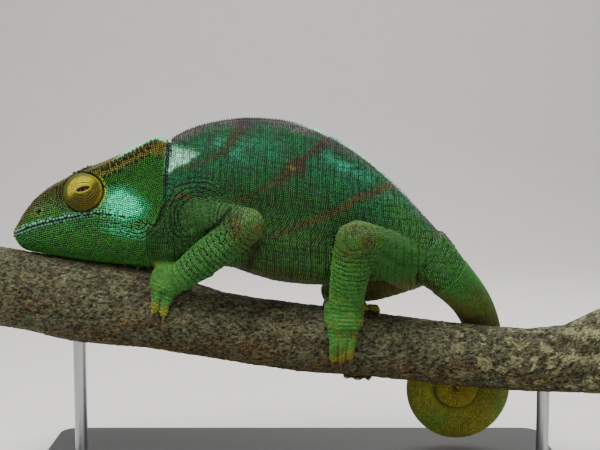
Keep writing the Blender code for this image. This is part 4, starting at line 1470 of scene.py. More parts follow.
class Skin:
    """The finished skin, ready to be asked for its nearest place and direction."""

    def __init__(self):
        mesh = bpy.data.objects["skin"].data
        self.points, self.normals = points_of(mesh), normals_of(mesh)
        self.triangles = triangles_of(mesh)
        self.tree = BVHTree.FromPolygons(self.points.tolist(), self.triangles.tolist())

    def at(self, places):
        place, normal = np.empty_like(places), np.empty_like(places)
        for i, p in enumerate(places):
            found, out, face, _ = self.tree.find_nearest(p)
            straight, _, under, _ = self.tree.ray_cast(Vector(p) + out, -out, 6.0)
            if straight is not None:
                found, face = straight, under
            place[i] = found
            normal[i] = self.normals[self.triangles[face]].mean(0)
        return place, unit(normal)

    def settle(self, roots, most):
        """Roots moved onto the skin by less than the most, or left out, and its directions there."""
        place, normal = self.at(roots[:, :3])
        good = lengths_of(place - roots[:, :3]) < most
        roots, normal = roots[good], normal[good]
        roots[:, :3] = place[good]
        return roots, normal

    def fill(self, roots, normals, open_to, spacing):
        """Roots and directions, with more of them wherever the rows leave open points of the skin bare."""
        tree = KDTree(len(roots))
        for i, place in enumerate(roots[:, :3]):
            tree.insert(place, i)
        tree.balance()
        chosen = np.nonzero(open_to)[0]
        points = self.points[chosen]
        found = [tree.find(p)[1:] for p in points]
        owner, away = np.array([f[0] for f in found]), np.array([f[1] for f in found])
        size = spacing(points)
        taken = []
        for i in np.argsort(-away / size):
            if away[i] < 0.82 * size[i]:
                break
            apart = (0.86 * size[i]) ** 2
            if all(((points[i] - points[k]) ** 2).sum() > apart for k in reversed(taken)):
                taken.append(i)
        more = roots[owner[taken]].copy()
        more[:, :3] = points[taken]
        more[:, 6] = more[:, 7] = size[taken]
        return joined(roots, more), joined(normals, self.normals[chosen[taken]])


def coarse_copy(voxel, rounds, keeping):
    """Points and triangles of the flesh in a coarser mesh, smoothed, to run the rows over."""
    obj = flesh("coarse flesh", voxel)
    relax(obj.data, rounds, 1 - keeping(points_of(obj.data)))
    points, triangles = points_of(obj.data), triangles_of(obj.data)
    bpy.data.objects.remove(obj)
    return points, triangles


# Scales of the body


def trunk_spacing(points):
    return in_mm("scales", "row") * (1 - 0.06 * limb_share(points) - 0.16 * foot_share(points))


def trunk_pitch(points):
    scale = settings("scales")
    return trunk_spacing(points) * scale.pitch / scale.row


def on_shoulder(points):
    """Whether each point lies where the rows bow round the shoulder, or on the upper arm."""
    away = points - np.where(points[:, 1:2] < 0, ARMPITS["left"], ARMPITS["right"])
    reach = lengths_of(away * np.array((1, 0.8, 1)))
    angle = np.degrees(np.arctan2(away[:, 2], away[:, 0])) % 360
    limit = np.interp(angle, [40, 75, 120, 180, 225, 245], [20, 31, 36, 27, 24, 0], left=0, right=0)
    bowed = (reach < limit) & (np.abs(points[:, 1]) > 7)
    return bowed | np.char.startswith(Near("").owner(points), "upper_arm")


def body_roots():
    """Roots in rows that start at the casque's rear edge, and on the shoulders in rows round the armpit."""
    points, triangles = coarse_copy(0.0017, 14, lambda p: 0.6 * foot_share(p))
    share = head_share(points)
    slow = 1 / trunk_spacing(points)
    sources = np.nonzero((np.abs(share) < 2.5) & (points[:, 0] < -70))[0]
    field = travel(points, triangles, sources, -share[sources] * slow[sources], slow)
    field[share > 2.5] = NEVER
    waves = 0.30 * cloud(points, 9.0, 5.0, 3)
    roots = sow(rows(points, triangles, field, waves, 0.4), trunk_spacing, trunk_pitch)
    roots = roots[~on_shoulder(roots[:, :3])]
    pits = [np.argmin(lengths_of(points - pit)) for pit in ARMPITS.values()]
    bow = travel(points, triangles, pits, 0.0, slow)
    bow[bow >= 50] = NEVER
    bowed = sow(rows(points, triangles, bow, waves, 1.5, 45), trunk_spacing, trunk_pitch)
    bowed = bowed[on_shoulder(bowed[:, :3])]
    bowed[:, 8] += roots[:, 8].max() + 2
    return joined(roots, bowed)


def creases(points, row):
    """1 in the short broken creases that run along and across the rows, and 0 between them."""
    deep = np.zeros(len(points))
    for line, seed in ((row / 3.0, 21.0), ((points[:, 2] + 0.15 * points[:, 0]) / 3.3, 25.0)):
        line = line + 0.4 * cloud(points, 7.0, seed, 2)
        near = np.abs(line - np.round(line))
        broken = step(-0.3, 0.1, cloud(points, 8.0, seed + 1, 2))
        deep = np.maximum(deep, fade(0.08, 0.22, near) * broken)
    return deep * (1 - 0.6 * limb_share(points))


def make_body_scales(skin):
    roots = body_roots()
    cut, cut_along = tail_cut()
    away = roots[:, :3] - cut
    before_cut = (away @ cut_along < -0.3) | (lengths_of(away) > 30)
    roots, normals = skin.settle(roots[(head_share(roots[:, :3]) < 0.6) & before_cut], 5)
    before_cut = ((skin.points - cut) @ cut_along < -0.6) | (skin.points[:, 0] < 78)
    roots, normals = skin.fill(roots, normals, (head_share(skin.points) < 0) & before_cut, trunk_spacing)
    place = roots[:, :3]
    colours = scale_colours(place, normals, 11)
    limb, crease = limb_share(place), creases(place, roots[:, 8])
    # painted shade: scales in the creases are darker
    colours *= (1 - 0.5 * crease)[:, None]
    heights = in_mm("scales", "height") * (1 - 0.25 * foot_share(place))
    heights *= (1 - 0.5 * crease) * (1 - 0.35 * wrinkles(place) * limb)
    limb, left, front = limb > 0.5, place[:, 1] < 0, place[:, 0] < -15
    # single pale scales on elbows and knees
    off = np.min([lengths_of(place - bend - np.array((0, 0, 4))) for bend in BENDS], axis=0)
    pale = (np.random.default_rng(8).random(len(place)) < 0.22 * fade(5, 12, off)) & limb
    colours[pale] = tint("nape", 0.24, 0.17, 0.10)
    uv = roots[:, 8:10].copy()
    uv[:, 1] += 0.6 * (place[:, 1] > 0)
    on_flank, on_limb = {"cover": (0.85, 0.74), "loose": 0.6}, {"cover": (0.90, 0.84), "loose": 0.4}
    made = []
    for name, chosen, looks in (
        ("scales_flank_left", left & ~limb, on_flank),
        ("scales_flank_right", ~left & ~limb, on_flank),
        ("scales_arms", limb & front, on_limb),
        ("scales_legs", limb & ~front, on_limb),
    ):
        chosen = np.nonzero(chosen)[0]
        made += make_scale_pieces(name, chosen, roots, normals, heights, colours, uv, **looks)
    return made


def make_back_crest(skin):
    """Small pale cones along the middle of the back, in three rows."""
    gone = running(steps_of(CONE_LINE))
    apart = 1.55
    roots, tall = [], []
    for shift, beside, size, height in (
        (0.0, 0.0, 1.55, 1.25),
        (0.5, -1.35, 1.3, 0.75),
        (0.5, 1.35, 1.3, 0.75),
    ):
        at = np.arange(0.8 + shift * apart, gone[-1] - 0.5, apart)
        x, z = columns_at(at, gone, CONE_LINE).T
        ahead_x, ahead_z = columns_at(at + 0.5, gone, CONE_LINE).T
        along = unit(np.stack([ahead_x - x, 0 * x, ahead_z - z], 1))
        place = np.stack([x, 0 * x + beside, z], 1)
        roots.append(root_table(place, along, size, size * 0.95, beside, at / 400))
        tall.append(height * (1 - 0.4 * step(60, 95, x)))
    roots, tall = np.concatenate(roots), np.concatenate(tall)
    roots[:, :3], normals = skin.at(roots[:, :3])
    x = roots[:, 0]
    coat = Coat(len(x), tint("ridge", 0.55))
    coat.lay("nape", step(-12, 14, x) * fade(40, 80, x) * 0.8, 0.92)
    coat.dim(0.6 * (bump(x + 33, 7) + bump(x - 21, 5)).clip(0, 1))
    uneven = (1 + 0.18 * np.random.default_rng(9).standard_normal(len(x))).clip(0.6, 1.5)
    heights = tall * in_mm("scales", "cone") / 1.3
    colours = coat.colour * uneven[:, None]
    return make_scales("scales_back_crest", roots, normals, heights, colours, (0.95, 0.95), SIX, 1.5)


# Numbers of scales that a ring of the tail may have
RING_COUNTS = [64, 56, 50, 44, 38, 34, 30, 26, 22, 18, 16, 14, 12]


def make_tail_scales():
    depth, pitch = in_mm("skin", "coat_depth"), in_mm("scales", "pitch")
    at, roots, normals = TAIL_CUT - 0.2, [], []
    while at < TAIL_END:
        *_, tall, wide = tail_frame(np.array([at]))
        tall, wide = tall[0], wide[0]
        girth = math.pi * (3 * (tall + wide) - math.sqrt((3 * tall + wide) * (tall + 3 * wide)))
        most = girth / (pitch * 1.04) * 1.08
        sides = next((n for n in RING_COUNTS if n <= most), RING_COUNTS[-1])
        size = girth / sides
        place, normal, along = tail_ring(at, sides, -depth)
        before, after = (tail_ring(at + way, sides, -depth)[0] for way in (-0.5, 0.5))
        room = size * lengths_of(after - before)
        roots.append(root_table(place, np.cross(normal, along), size, room, at, turns(sides) / 7))
        normals.append(normal)
        at += size
    # the tip's cap
    place, along, *_, tall, wide = tail_frame(np.array([TAIL_END]))
    radius = (tall[0] + wide[0]) / 2 - depth
    for lift, sides in ((25, 11), (52, 7), (80, 3)):
        out = tail_ring(TAIL_END, sides, -depth)[1]
        out = out * math.cos(math.radians(lift)) + along * math.sin(math.radians(lift))
        row = 1.05 + TAIL_END + lift / 30
        around = np.cross(out, along[0])
        roots.append(root_table(place + out * radius, around, 1.05, 1.05, row, turns(sides) / 7))
        normals.append(out)
    roots, normals = np.concatenate(roots), np.concatenate(normals)
    colours = scale_colours(roots[:, :3], normals, 12)
    heights = in_mm("scales", "height") * np.clip(roots[:, 6] / 1.1, 0.5, 1.1)
    # the turns of the coil press against each other
    away, reach, slot = coil_slot(roots[:, :3])
    facing = np.abs((normals[:, [0, 2]] * away).sum(1)) / np.maximum(reach, 0.1)
    pressed = np.where(reach < 5.2, 4.0, 1.3 * (np.abs(slot) < 1.5))
    heights = heights * (1 + pressed * step(0.3, 0.7, facing))
    looks = {"uv": roots[:, 8:10], "cover": (0.78, 0.88), "loose": 0.3}
    return make_scale_pieces("scales_tail", np.arange(len(roots)), roots, normals, heights, colours, **looks)


# Scales of the head


def head_spacing(points):
    level = level_head(points)
    x, _, z = level.T
    jaw = step(0.5, -1.5, z - on_line(MOUTH_LINE, x))
    size = 1.24 + 0.10 * jaw
    size = size + 0.75 * fade(1.5, 3.6, from_mouth(level)) * step(-98, -122, x)
    size = size - 0.20 * spot(x + 96, z - 190, 14, 14)
    return size + 0.12 * fade(6, 9, below_crest(level)) * step(-134, -126, x)


def head_pitch(points):
    return head_spacing(points) * 1.04


def head_roots():
    """Roots in rows that start at the mouth and round the eyes."""
    points, triangles = coarse_copy(0.0015, 8, lambda p: 0.75 * crest_share(p))
    triangles = triangles[(head_share(points) > -4)[triangles].all(1)]
    used = np.unique(triangles)
    renumber = np.full(len(points), -1)
    renumber[used] = np.arange(len(used))
    points, triangles = points[used], renumber[triangles]
    level = level_head(points)
    mouth = from_mouth(level)
    slow = 1 / head_spacing(points)
    beside_or_front = (np.abs(level[:, 1]) > 2) | (level[:, 0] < -174)
    sources = np.nonzero((mouth < 2.2) & beside_or_front)[0]
    off, ringed = around_eye(level)
    rim = np.nonzero((np.abs(off - 1) < 1.4) & (ringed > 0.5))[0]
    start = joined(mouth[sources] * slow[sources], (off[rim] + 1.0) * slow[rim])
    field = travel(points, triangles, joined(sources, rim), start, slow)
    waves = 0.34 * cloud(points, 6.0, 6.0, 3) * step(2, 6, field)
    return sow(rows(points, triangles, field, waves, 0.5), head_spacing, head_pitch, 0.5)


def make_head_scales(skin):
    roots = head_roots()
    level = level_head(roots[:, :3])
    open_nostril = (from_nostril(level) > 1.3) | (np.abs(level[:, 1]) < 3)
    keep = (head_share(roots[:, :3]) > -0.6) & (around_eye(level)[0] > 0.35) & open_nostril
    roots, normals = skin.settle(roots[keep], 3)
    level = level_head(skin.points)
    on_head = (head_share(skin.points) > 0) & (skin.points[:, 0] < -78)
    on_head = on_head & (around_eye(level)[0] > 0.5) & (from_nostril(level) > 1.3)
    roots, normals = skin.fill(roots, normals, on_head, head_spacing)
    place = roots[:, :3]
    colours = scale_colours(place, normals, 21)
    level = level_head(place)
    dark = crest_spots(level[:, 0], below_crest(level)) > 0.5
    roots[dark, 6] *= 1.2
    heights = in_mm("scales", "height") * roots[:, 7] / 1.25
    heights *= 1 + 0.5 * dark + 0.5 * crest_share(place)
    heights *= 1 + 0.5 * fade(1.5, 3.5, from_mouth(level))
    uv = np.stack([roots[:, 8] + 60 * (level[:, 1] > 0), roots[:, 9]], 1)
    looks = {"uv": uv, "kind": SIX, "peak": 1.05, "cover": (0.95, 0.84)}
    return make_scale_pieces("scales_head", np.arange(len(roots)), roots, normals, heights, colours, **looks)


# Eyes


def eye_axes(side):
    """Where an eye looks, and the long and short ways of its slit, in the upright head."""
    look = unit(np.array((math.tan(GAZE_BACK), side * math.cos(GAZE_UP), math.sin(GAZE_UP))))
    level = unit(np.array((1.0, 0, 0)) - look * look[0])
    upright = np.cross(level, look) * side
    long_way = level * math.cos(SLIT_TILT) + upright * math.sin(SLIT_TILT)
    short_way = upright * math.cos(SLIT_TILT) - level * math.sin(SLIT_TILT)
    return look, long_way, short_way


LID_RINGS = 13  # folds of the lids from the slit to their outer edge
LID_REACH = 24.0  # distance over the lids from the slit's middle to their outer edge
LID_DEPTH = 0.2  # how far the lids lie inside their ball, below their scales


def lid_way(side, turn, share):
    """Directions from the eye's middle to the lids, by turn round the slit and share of the way out."""
    look, long_way, short_way = eye_axes(side)
    c, s = np.cos(turn), np.sin(turn)
    slit = np.stack([4.4 * c, 1.55 * s * np.abs(s) ** 0.35 + 0.25], -1)
    edge = np.stack([c, s], -1) * LID_REACH
    flat = slit * ((1 - share) ** 0.9)[..., None] + edge * share[..., None]
    reach = np.linalg.norm(flat, axis=-1)
    angle = reach / TURRET_RADIUS
    way = (flat[..., :1] * long_way + flat[..., 1:] * short_way) / reach[..., None]
    return look * np.cos(angle)[..., None] + way * np.sin(angle)[..., None]


def lid_wave(turn, share):
    """1 on the folds round the slit, and 0 between them."""
    uneven = 0.25 * np.sin(turn * 2 + 0.7) + 0.12 * np.sin(turn * 5)
    return 0.5 + 0.5 * np.cos(2 * np.pi * (share * LID_RINGS + uneven))


def lid_height(turn, share):
    """How far the lids stand out from their ball: a thick edge, then folds round the slit."""
    folds = 0.5 * (lid_wave(turn, share) - 1) * step(0.03, 0.1, share)
    folds = folds * (1 - 0.55 * step(0.3, 0.75, share))
    return folds + 0.5 * bump(share - 0.022, 0.018) + 0.35 * step(0.62, 0.72, share)


def lid_colours(turn, share, seed):
    up, back = np.sin(turn - 0.35), np.cos(turn)
    bright = step(-0.2, 0.5, up) * fade(0.28, 0.44, share)
    bright = bright + 0.8 * bump(share - 0.5, 0.08) * step(0.2, 0.9, back)
    bright = np.maximum(bright.clip(0, 1), fade(0.03, 0.07, share) * 0.8)
    colour = np.broadcast_to(tint("lid_shade"), (*turn.shape, 3))
    colour = blend(colour, tint("lid_shade", 1.25, 0.95, 0.8), step(0, -0.6, up))
    colour = blend(colour, tint("lid_shade", 0.75, 0.7, 0.7), step(0.15, -0.7, back) * 0.7)
    colour = blend(colour, tint("lid", 0.86, 0.92, 0.9), bright)
    colour = blend(colour, tint("limb", 0.9), step(0.46, 0.66, share) * 0.3)
    # painted shade in the valleys between the folds round the slit
    shade = 1 - 0.85 * (1 - lid_wave(turn, share)) ** 1.6 * step(0.03, 0.1, share)
    uneven = 1 + 0.10 * np.random.default_rng(seed).standard_normal(turn.shape)
    return colour * (shade * uneven)[..., None]


def make_eyelids(side, name):
    """The two lids as one dome with a slit, whose walls go in to a floor behind the front of the eye."""
    middle = EYE_PLACE * np.array((1, side, 1))
    sides, ball = 120, TURRET_RADIUS - LID_DEPTH
    shares = joined([0, 0.006, 0.014, 0.024, 0.036, 0.05], np.linspace(0.062, 1, 92))
    turn, share = np.meshgrid(turns(sides), shares)
    way = lid_way(side, turn, share)
    rings = middle + way * (ball + lid_height(turn, share))[..., None]
    wall = np.array([middle + way[0] * (ball - sink) for sink in (3.4, 2.2, 1.0, 0.35)])
    # painted shade: the walls that go into the slit are dark
    wall_colours = np.repeat(lid_colours(turn[0], 0 * turn[0], 1)[None] * 0.2, len(wall), 0)
    points = joined(wall, rings).reshape(-1, 3)
    colours = joined(wall_colours, lid_colours(turn, share, 2) * 0.62).reshape(-1, 3)
    count = len(wall) + len(shares)
    inner, outer = len(points), len(points) + 1
    rim = (count - 1) * sides
    faces = [tube_faces(count, sides), fan_faces(0, sides, inner), fan_faces(rim, sides, outer)[:, [0, 2, 1]]]
    faces = np.concatenate(faces)
    points = joined(points, [points[:sides].mean(0)], [points[-sides:].mean(0)])
    colours = joined(colours, colours[:1], colours[-1:])
    mesh = mesh_from(name, roll_head(points), faces[:, ::-1] if side > 0 else faces, 3)
    paint(mesh, colours)
    return new_object(name, mesh, skin_material())


def make_lid_scales(side, name, skin):
    """Fine scales in rings round the slit."""
    middle = EYE_PLACE * np.array((1, side, 1))
    size, many = 0.82, 720
    roots, normals, colours = [], [], []
    share = 0.075
    while share < 0.84:
        place = middle + lid_way(side, turns(many), np.full(many, share)) * TURRET_RADIUS
        gone = running(steps_of(joined(place, place[:1])))
        total = int(gone[-1] / size)
        at = (np.arange(total) + 0.5 * (int(share * 1000) % 2)) * gone[-1] / total
        turn = np.interp(at, gone, np.linspace(0, 2 * np.pi, many + 1))
        ring_share = np.full(total, share)
        way = lid_way(side, turn, ring_share)
        along = unit(lid_way(side, turn + 0.02, ring_share) - way)
        place = middle + way * (TURRET_RADIUS - LID_DEPTH + lid_height(turn, ring_share))[:, None]
        row = root_table(roll_head(place), roll_way(along), gone[-1] / total, 0.8, share, turn / 7)
        roots.append(row)
        normals.append(roll_way(way))
        colours.append(lid_colours(turn, ring_share, int(share * 999)))
        share += size / LID_REACH
    roots, normals, colours = np.concatenate(roots), np.concatenate(normals), np.concatenate(colours)
    near, out = skin.at(roots[:, :3])
    shown = (((roots[:, :3] - near) * out).sum(1) > -0.1) | (roots[:, 8] < 0.6)
    heights = np.full(shown.sum(), 0.2)
    return make_scales(name, roots[shown], normals[shown], heights, colours[shown] * 1.1, (0.9, 0.8))


def make_eyeball(side, name):
    """A ball whose pole, with the pupil, faces the way the eye looks."""
    look, *_ = eye_axes(side)
    bpy.ops.mesh.primitive_uv_sphere_add(segments=48, ring_count=32, radius=EYEBALL_RADIUS * MM)
    ball = bpy.context.object
    ball.name = name
    mesh = ball.data
    points = points_of(mesh)
    middle = EYE_PLACE * np.array((1, side, 1)) + look * 4.4
    turn = Vector((0, 0, 1)).rotation_difference(Vector(roll_way(look[None])[0])).to_matrix()
    angle = np.degrees(np.arccos(np.clip(points[:, 2] / EYEBALL_RADIUS, -1, 1)))
    put_points(mesh, points @ np.array(turn).T + roll_head(middle[None])[0])
    gold, black = (0.16, 0.085, 0.015), np.array((0.004, 0.003, 0.003))
    coat = Coat(len(points), black)
    coat.lay(gold, step(11, 13, angle))
    coat.lay(black, step(19, 24, angle))
    paint(mesh, coat.colour)
    mesh.materials.append(ready_or("Eye", eye_finish))
    smooth(mesh)
    return ball


# Claws


def make_claws(foot):
    """One foot's claws, rounded, and the nodes that they replace."""
    names = [name for name in TOES if foot in name]
    piece = new_object("claws_" + foot, joined_mesh("claws_" + foot, names))
    rounding = piece.modifiers.new("round", "SUBSURF")
    rounding.levels = rounding.render_levels = 2
    apply_all(piece)
    mesh = piece.data
    points = points_of(mesh)
    put_points(mesh, points + normals_of(mesh) * 0.12)
    paint(mesh, tint("claw") * (0.75 + 0.35 * cloud(points, 1.2, 7.0, 2))[:, None])
    smooth(mesh)
    mesh.materials.append(claw_material())
    return piece, names


# Perch and stand


def bark_pattern(points, seed, size, stretch):
    """Random patches, longer along the branch than round it."""
    return cloud(points / np.array((stretch, 1, 1)), size, seed, 3)


def bark_surface(base, out):
    """How far the bark stands out at points of the branch, and its colours there."""
    x, up = base[:, 0], out[:, 2]
    patch = bark_pattern(base, 8.0, 8.0, 1.0) + 0.35 * bark_pattern(base, 18.0, 2.0, 1.0)
    grain = bark_pattern(base, 9.0, 1.5, 1.8)
    pits = bark_pattern(base, 10.0, 2.0, 1.3)
    crack = np.abs(bark_pattern(base, 11.0, 4.5, 1.7))
    tone = bark_pattern(base, 12.0, 7.0, 1.3)
    lichen = step(-0.02, 0.30, patch)
    plates = step(0.10, 0.14, bark_pattern(base, 27.0, 14.0, 0.8))
    rough = 1 - 0.72 * lichen
    relief = 0.55 * grain - 0.9 * step(0.25, 0.6, pits) - 0.7 * fade(0.02, 0.09, crack)
    lift = 0.25 * cloud(base, 16.0, 3.0, 2) + in_mm("perch", "relief") * rough * relief + 0.16 * lichen
    # the bark is worn under the throat, which rests there
    worn = band(x, -158, -148, -92, -84) * step(0.7, 0.92, up)
    lift = lift + (0.5 + 0.1 * grain - lift) * worn
    coat = Coat(len(base), tint("bark"))
    coat.lay("bark", step(-0.1, 0.3, tone), 0.95, 1.12, 1.15)
    coat.lay("speck", step(0.05, 0.4, bark_pattern(base, 19.0, 6.0, 1.4)) * 0.45, 1.8)
    coat.lay("bark", plates * 0.8, 1.0, 1.22, 1.3)
    below = step(-0.25, 0.25, bark_pattern(base, 14.0, 13.0, 2.0)) * step(0.2, -0.5, up)
    coat.lay("wood", below * 0.8, 0.5)
    light = 0.82 + 0.45 * step(40, 170, x) + 0.15 * tone
    share = lichen * (0.45 + 0.5 * step(40, 150, x)) * (1 - 0.6 * plates)
    coat.lay(tint("lichen") * light[:, None], share)
    coat.lay("speck", step(0.22, 0.5, pits) * 0.65)
    coat.lay("speck", fade(0.03, 0.10, crack) * 0.7 * rough)
    coat.dim(-0.38 * grain)
    return lift, coat.colour


def sawn_end(rim, middle):
    """Rings across a sawn end, from its rim inwards, and their colours."""
    shares = np.array((0.985, 0.93, 0.8, 0.65, 0.5, 0.35, 0.2, 0.08))
    rings = middle + (rim - middle) * shares[:, None, None]
    rings[..., 0] = middle[0]
    wood = (0.86 + 0.14 * np.sin(shares * 60))[:, None] * tint("wood")
    tones = np.where(shares[:, None] > 0.9, tint("speck", 1.5), wood)
    return rings, np.repeat(tones[:, None], len(rim), 1)


def make_bark():
    """The branch's bark, with both ends sawn across and closed."""
    xs, sides = np.linspace(-PERCH_HALF_LENGTH, PERCH_HALF_LENGTH, 400), 150
    height, radius = branch_at(xs)
    turn = np.broadcast_to(turns(sides), (len(xs), sides))
    out = np.stack([0 * turn, np.sin(turn), np.cos(turn)], -1)
    axis = np.stack([xs, 0 * xs, height], -1)
    base = axis[:, None] + out * radius[:, None, None]
    lift, colours = bark_surface(base.reshape(-1, 3), out.reshape(-1, 3))
    worn_edge = step(PERCH_HALF_LENGTH - 3.0, PERCH_HALF_LENGTH, np.abs(base[..., :1]))
    bark = base + out * (np.clip(lift, -1.6, 0.45).reshape(-1, sides, 1) - 0.25 * worn_edge)
    (front, front_colours), (back, back_colours) = (sawn_end(bark[end], axis[end]) for end in (0, -1))
    rings = joined(front[::-1], bark, back)
    colours = joined(front_colours[::-1], colours.reshape(bark.shape), back_colours)
    points = joined(rings.reshape(-1, 3), axis[[0, -1]])
    colours = joined(colours.reshape(-1, 3), [tint("wood", 0.5)] * 2)
    last, middles = (len(rings) - 1) * sides, len(points) - 2
    ends = [fan_faces(0, sides, middles)[:, ::-1], fan_faces(last, sides, middles + 1)]
    mesh = mesh_from("perch", points, joined(tube_faces(len(rings), sides)[:, ::-1], *ends), 3)
    paint(mesh, colours)
    return new_object("perch", mesh, ready_or("Bark", bark_finish))


BASE_LENGTH, BASE_DEPTH, BASE_THICKNESS = 330, 150, 11
BASE_CORNER, BASE_EDGE = 12, 1.5
RODS = {"stand_rod_front": -138, "stand_rod_back": 153}
ROD_RADIUS = 4


def added(name, material, place, size=(1, 1, 1)):
    """The primitive that was just added, with its material, drawn out to its size and moved to its place."""
    obj = bpy.context.object
    obj.name = name
    obj.data.transform(Matrix.Diagonal((*size, 1)))
    obj.data.transform(Matrix.Translation(Vector(place) * MM))
    obj.data.materials.append(material)
    return obj


def smooth_below_35_degrees(obj):
    pick(obj)
    bpy.ops.object.shade_smooth_by_angle(angle=math.radians(35))


def make_base():
    """A flat board with rounded corners and a softened upper edge."""
    bpy.ops.mesh.primitive_cube_add(size=1, location=(0, 0, 0))
    paint_look = ready_or("Stand paint", plain_finish, (0.035, 0.036, 0.038), 0.45, 0.0, 260)
    size = (BASE_LENGTH * MM, BASE_DEPTH * MM, BASE_THICKNESS * MM)
    base = added("stand_base_plate", paint_look, (0, 0, BASE_THICKNESS / 2), size)
    shape = bmesh.new()
    shape.from_mesh(base.data)
    tall = BASE_THICKNESS / 2 * MM
    upright = [e for e in shape.edges if abs(e.verts[0].co.z - e.verts[1].co.z) > tall]
    round_off(shape, upright, BASE_CORNER, 12)
    top = [e for e in shape.edges if min(v.co.z for v in e.verts) > (BASE_THICKNESS - 0.01) * MM]
    round_off(shape, top, BASE_EDGE, 5)
    shape.to_mesh(base.data)
    shape.free()
    smooth_below_35_degrees(base)
    return base


def round_off(shape, edges, radius, segments):
    bmesh.ops.bevel(shape, geom=edges, offset=radius * MM, segments=segments, profile=0.5, affect="EDGES")


def make_rod(name, x):
    """A rod from the base up into the branch."""
    middle, radius = branch_at(x)
    foot, top = BASE_THICKNESS + 0.05, middle - radius + 1.0
    bpy.ops.mesh.primitive_cylinder_add(vertices=48, radius=ROD_RADIUS * MM, depth=(top - foot) * MM)
    steel = ready_or("Stand steel", plain_finish, (0.42, 0.43, 0.44), 0.32, 1.0, 400)
    rod = added(name.replace("stand_rod", "rod"), steel, (x, 0, (top + foot) / 2))
    smooth_below_35_degrees(rod)
    return rod


# Stage


def make_floor(colour):
    """A floor that bends up behind into a backdrop."""
    far, bend, high, wide = 0.9, 0.9, 4.0, 3.0
    lean = np.radians(np.linspace(0, 90, 25))
    curve = [(far + bend * math.sin(t), bend * (1 - math.cos(t))) for t in lean]
    profile = [(-wide, 0.0), *curve, (far + bend, high)]
    points = np.array([(x, y, z) for y, z in profile for x in (-wide, wide)]) / MM
    faces = np.array([(2 * i, 2 * i + 1, 2 * i + 3, 2 * i + 2) for i in range(len(profile) - 1)])
    look = ready_or("Floor", plain_finish, linear(colour), 0.8, 0.0, 30, 0.97, 1.03)
    return new_object("floor", mesh_from("floor", points, faces, 4), look)


def placed(name, data, place, direction):
    """A lamp or camera at its place that looks the way of direction."""
    obj = new_object(name, data)
    obj.location = place
    obj.rotation_euler = direction.to_track_quat("-Z", "Y").to_euler()
    return obj


def add_lights(power):
    middle, backdrop = Vector((0, 0, 0.14)), Vector((0, 1.6, 0.5))
    for name, place, share, size, aim in (
        ("key", (-0.30, -0.38, 1.00), 1.0, 0.45, middle),
        ("back", (0.30, 0.50, 0.85), 0.45, 0.6, middle),
        ("fill", (0.45, -0.95, 0.40), 0.22, 0.7, middle),
        ("backdrop", (0.0, 0.55, 1.6), 0.9, 1.2, backdrop),
    ):
        lamp = bpy.data.lights.new(name, "AREA")
        lamp.energy, lamp.size = power * share, size
        placed(name, lamp, place, aim - Vector(place))


def add_camera(distance, elevation):
    lens = bpy.data.cameras.new("camera")
    lens.lens, lens.sensor_width, lens.clip_start = 70, 36, 0.01
    away = Vector((0, -math.cos(elevation), math.sin(elevation)))
    return placed("camera", lens, Vector((0, 0, 0.1605)) + away * distance, -away)


# Operators


class SkinOperator(bpy.types.Operator):
    """One skin over head, neck, trunk, legs and tail."""

    bl_idname = "chameleon.skin"
    bl_label = "Skin"

    def execute(self, context):
        finish_piece(make_skin(), "body_skin", *FLESH)
        return {"FINISHED"}


class BodyScalesOperator(bpy.types.Operator):
    """Scales of the neck, trunk, legs and tail."""

    bl_idname = "chameleon.body_scales"
    bl_label = "Body scales"

    def execute(self, context):
        skin = Skin()
        for piece in make_body_scales(skin):
            finish_piece(piece, "body_skin" if "flank" in piece.name else "limb_skin")
        finish_piece(make_back_crest(skin), "body_skin")
        for piece in make_tail_scales():
            finish_piece(piece, "tail_skin")
        return {"FINISHED"}


class HeadScalesOperator(bpy.types.Operator):
    """Scales of the head, from the lip plates to the crest."""

    bl_idname = "chameleon.head_scales"
    bl_label = "Head scales"

    def execute(self, context):
        for piece in make_head_scales(Skin()):
            finish_piece(piece, "head_skin")
        return {"FINISHED"}


class EyesOperator(bpy.types.Operator):
    """Eyelids with their fine scales, and the eyeballs in their slits."""

    bl_idname = "chameleon.eyes"
    bl_label = "Eyes"

    def execute(self, context):
        skin = Skin()
        for name, side in (("left", -1), ("right", 1)):
            finish_piece(make_eyelids(side, "eyelids_" + name), "eyelid_skin", "eye_turret_" + name)
            finish_piece(make_lid_scales(side, "scales_eyelids_" + name, skin), "eyelid_skin")
            finish_piece(make_eyeball(side, "eyeball_" + name), "eye", "eye_" + name)
        return {"FINISHED"}


class ClawsOperator(bpy.types.Operator):
    """The claws of all four feet."""

    bl_idname = "chameleon.claws"
    bl_label = "Claws"

    def execute(self, context):
        for foot in ("forefoot_left", "forefoot_right", "hindfoot_left", "hindfoot_right"):
            piece, names = make_claws(foot)
            finish_piece(piece, "claw", *names)
        return {"FINISHED"}


class PerchOperator(bpy.types.Operator):
    """The cut length of branch, with its bark."""

    bl_idname = "chameleon.perch"
    bl_label = "Perch"

    def execute(self, context):
        finish_piece(make_bark(), "bark", "perch_branch")
        return {"FINISHED"}


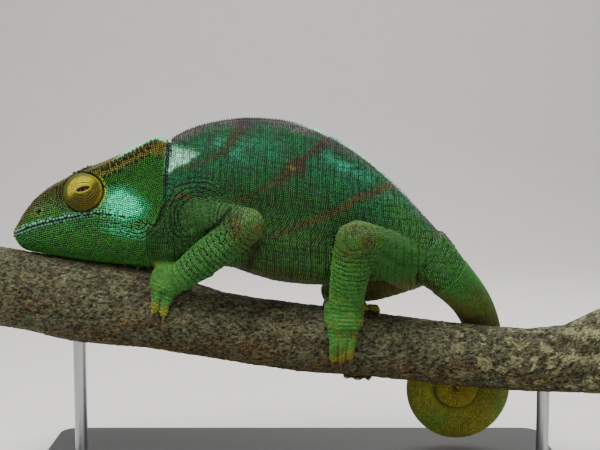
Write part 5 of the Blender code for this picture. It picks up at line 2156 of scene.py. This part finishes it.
class StandOperator(bpy.types.Operator):
    """The display stand: a base and two rods."""

    bl_idname = "chameleon.stand"
    bl_label = "Stand"

    def execute(self, context):
        finish_piece(make_base(), "stand_paint", "stand_base")
        for name, x in RODS.items():
            finish_piece(make_rod(name, x), "stand_steel", name)
        return {"FINISHED"}


class StageOperator(bpy.types.Operator):
    """Floor, lights and camera."""

    bl_idname = "chameleon.stage"
    bl_label = "Stage"

    def execute(self, context):
        choice = settings("stage")
        make_floor(choice.floor)
        world = context.scene.world or bpy.data.worlds.new("World")
        context.scene.world = world
        world.use_nodes = True
        world.node_tree.nodes["Background"].inputs["Color"].default_value = (0.80, 0.82, 0.86, 1)
        world.node_tree.nodes["Background"].inputs["Strength"].default_value = 0.40
        add_lights(choice.key_power)
        context.scene.camera = add_camera(choice.distance, choice.elevation)
        return {"FINISHED"}


STEPS = [SkinOperator, BodyScalesOperator, HeadScalesOperator, EyesOperator]
STEPS += [ClawsOperator, PerchOperator, StandOperator, StageOperator]
GROUPS = {
    "skin": SkinSettings,
    "scales": ScaleSettings,
    "colours": ColourSettings,
    "perch": PerchSettings,
    "stage": StageSettings,
}


class ChameleonPanel(bpy.types.Panel):
    """The steps that dress the solids, in order."""

    bl_idname = "VIEW3D_PT_chameleon"
    bl_label = "Chameleon"
    bl_space_type = "VIEW_3D"
    bl_region_type = "UI"
    bl_category = "Chameleon"

    def draw(self, context):
        for operator in STEPS:
            self.layout.operator(operator.bl_idname)


def register():
    for name, group in GROUPS.items():
        bpy.utils.register_class(group)
        setattr(bpy.types.Scene, "chameleon_" + name, bpy.props.PointerProperty(type=group))
    for operator in STEPS:
        bpy.utils.register_class(operator)
    bpy.utils.register_class(ChameleonPanel)


def unregister():
    bpy.utils.unregister_class(ChameleonPanel)
    for operator in reversed(STEPS):
        bpy.utils.unregister_class(operator)
    for name, group in GROUPS.items():
        delattr(bpy.types.Scene, "chameleon_" + name)
        bpy.utils.unregister_class(group)


def main():
    register()
    for operator in STEPS:
        group, name = operator.bl_idname.split(".")
        getattr(getattr(bpy.ops, group), name)()


if __name__ == "__main__":
    main()
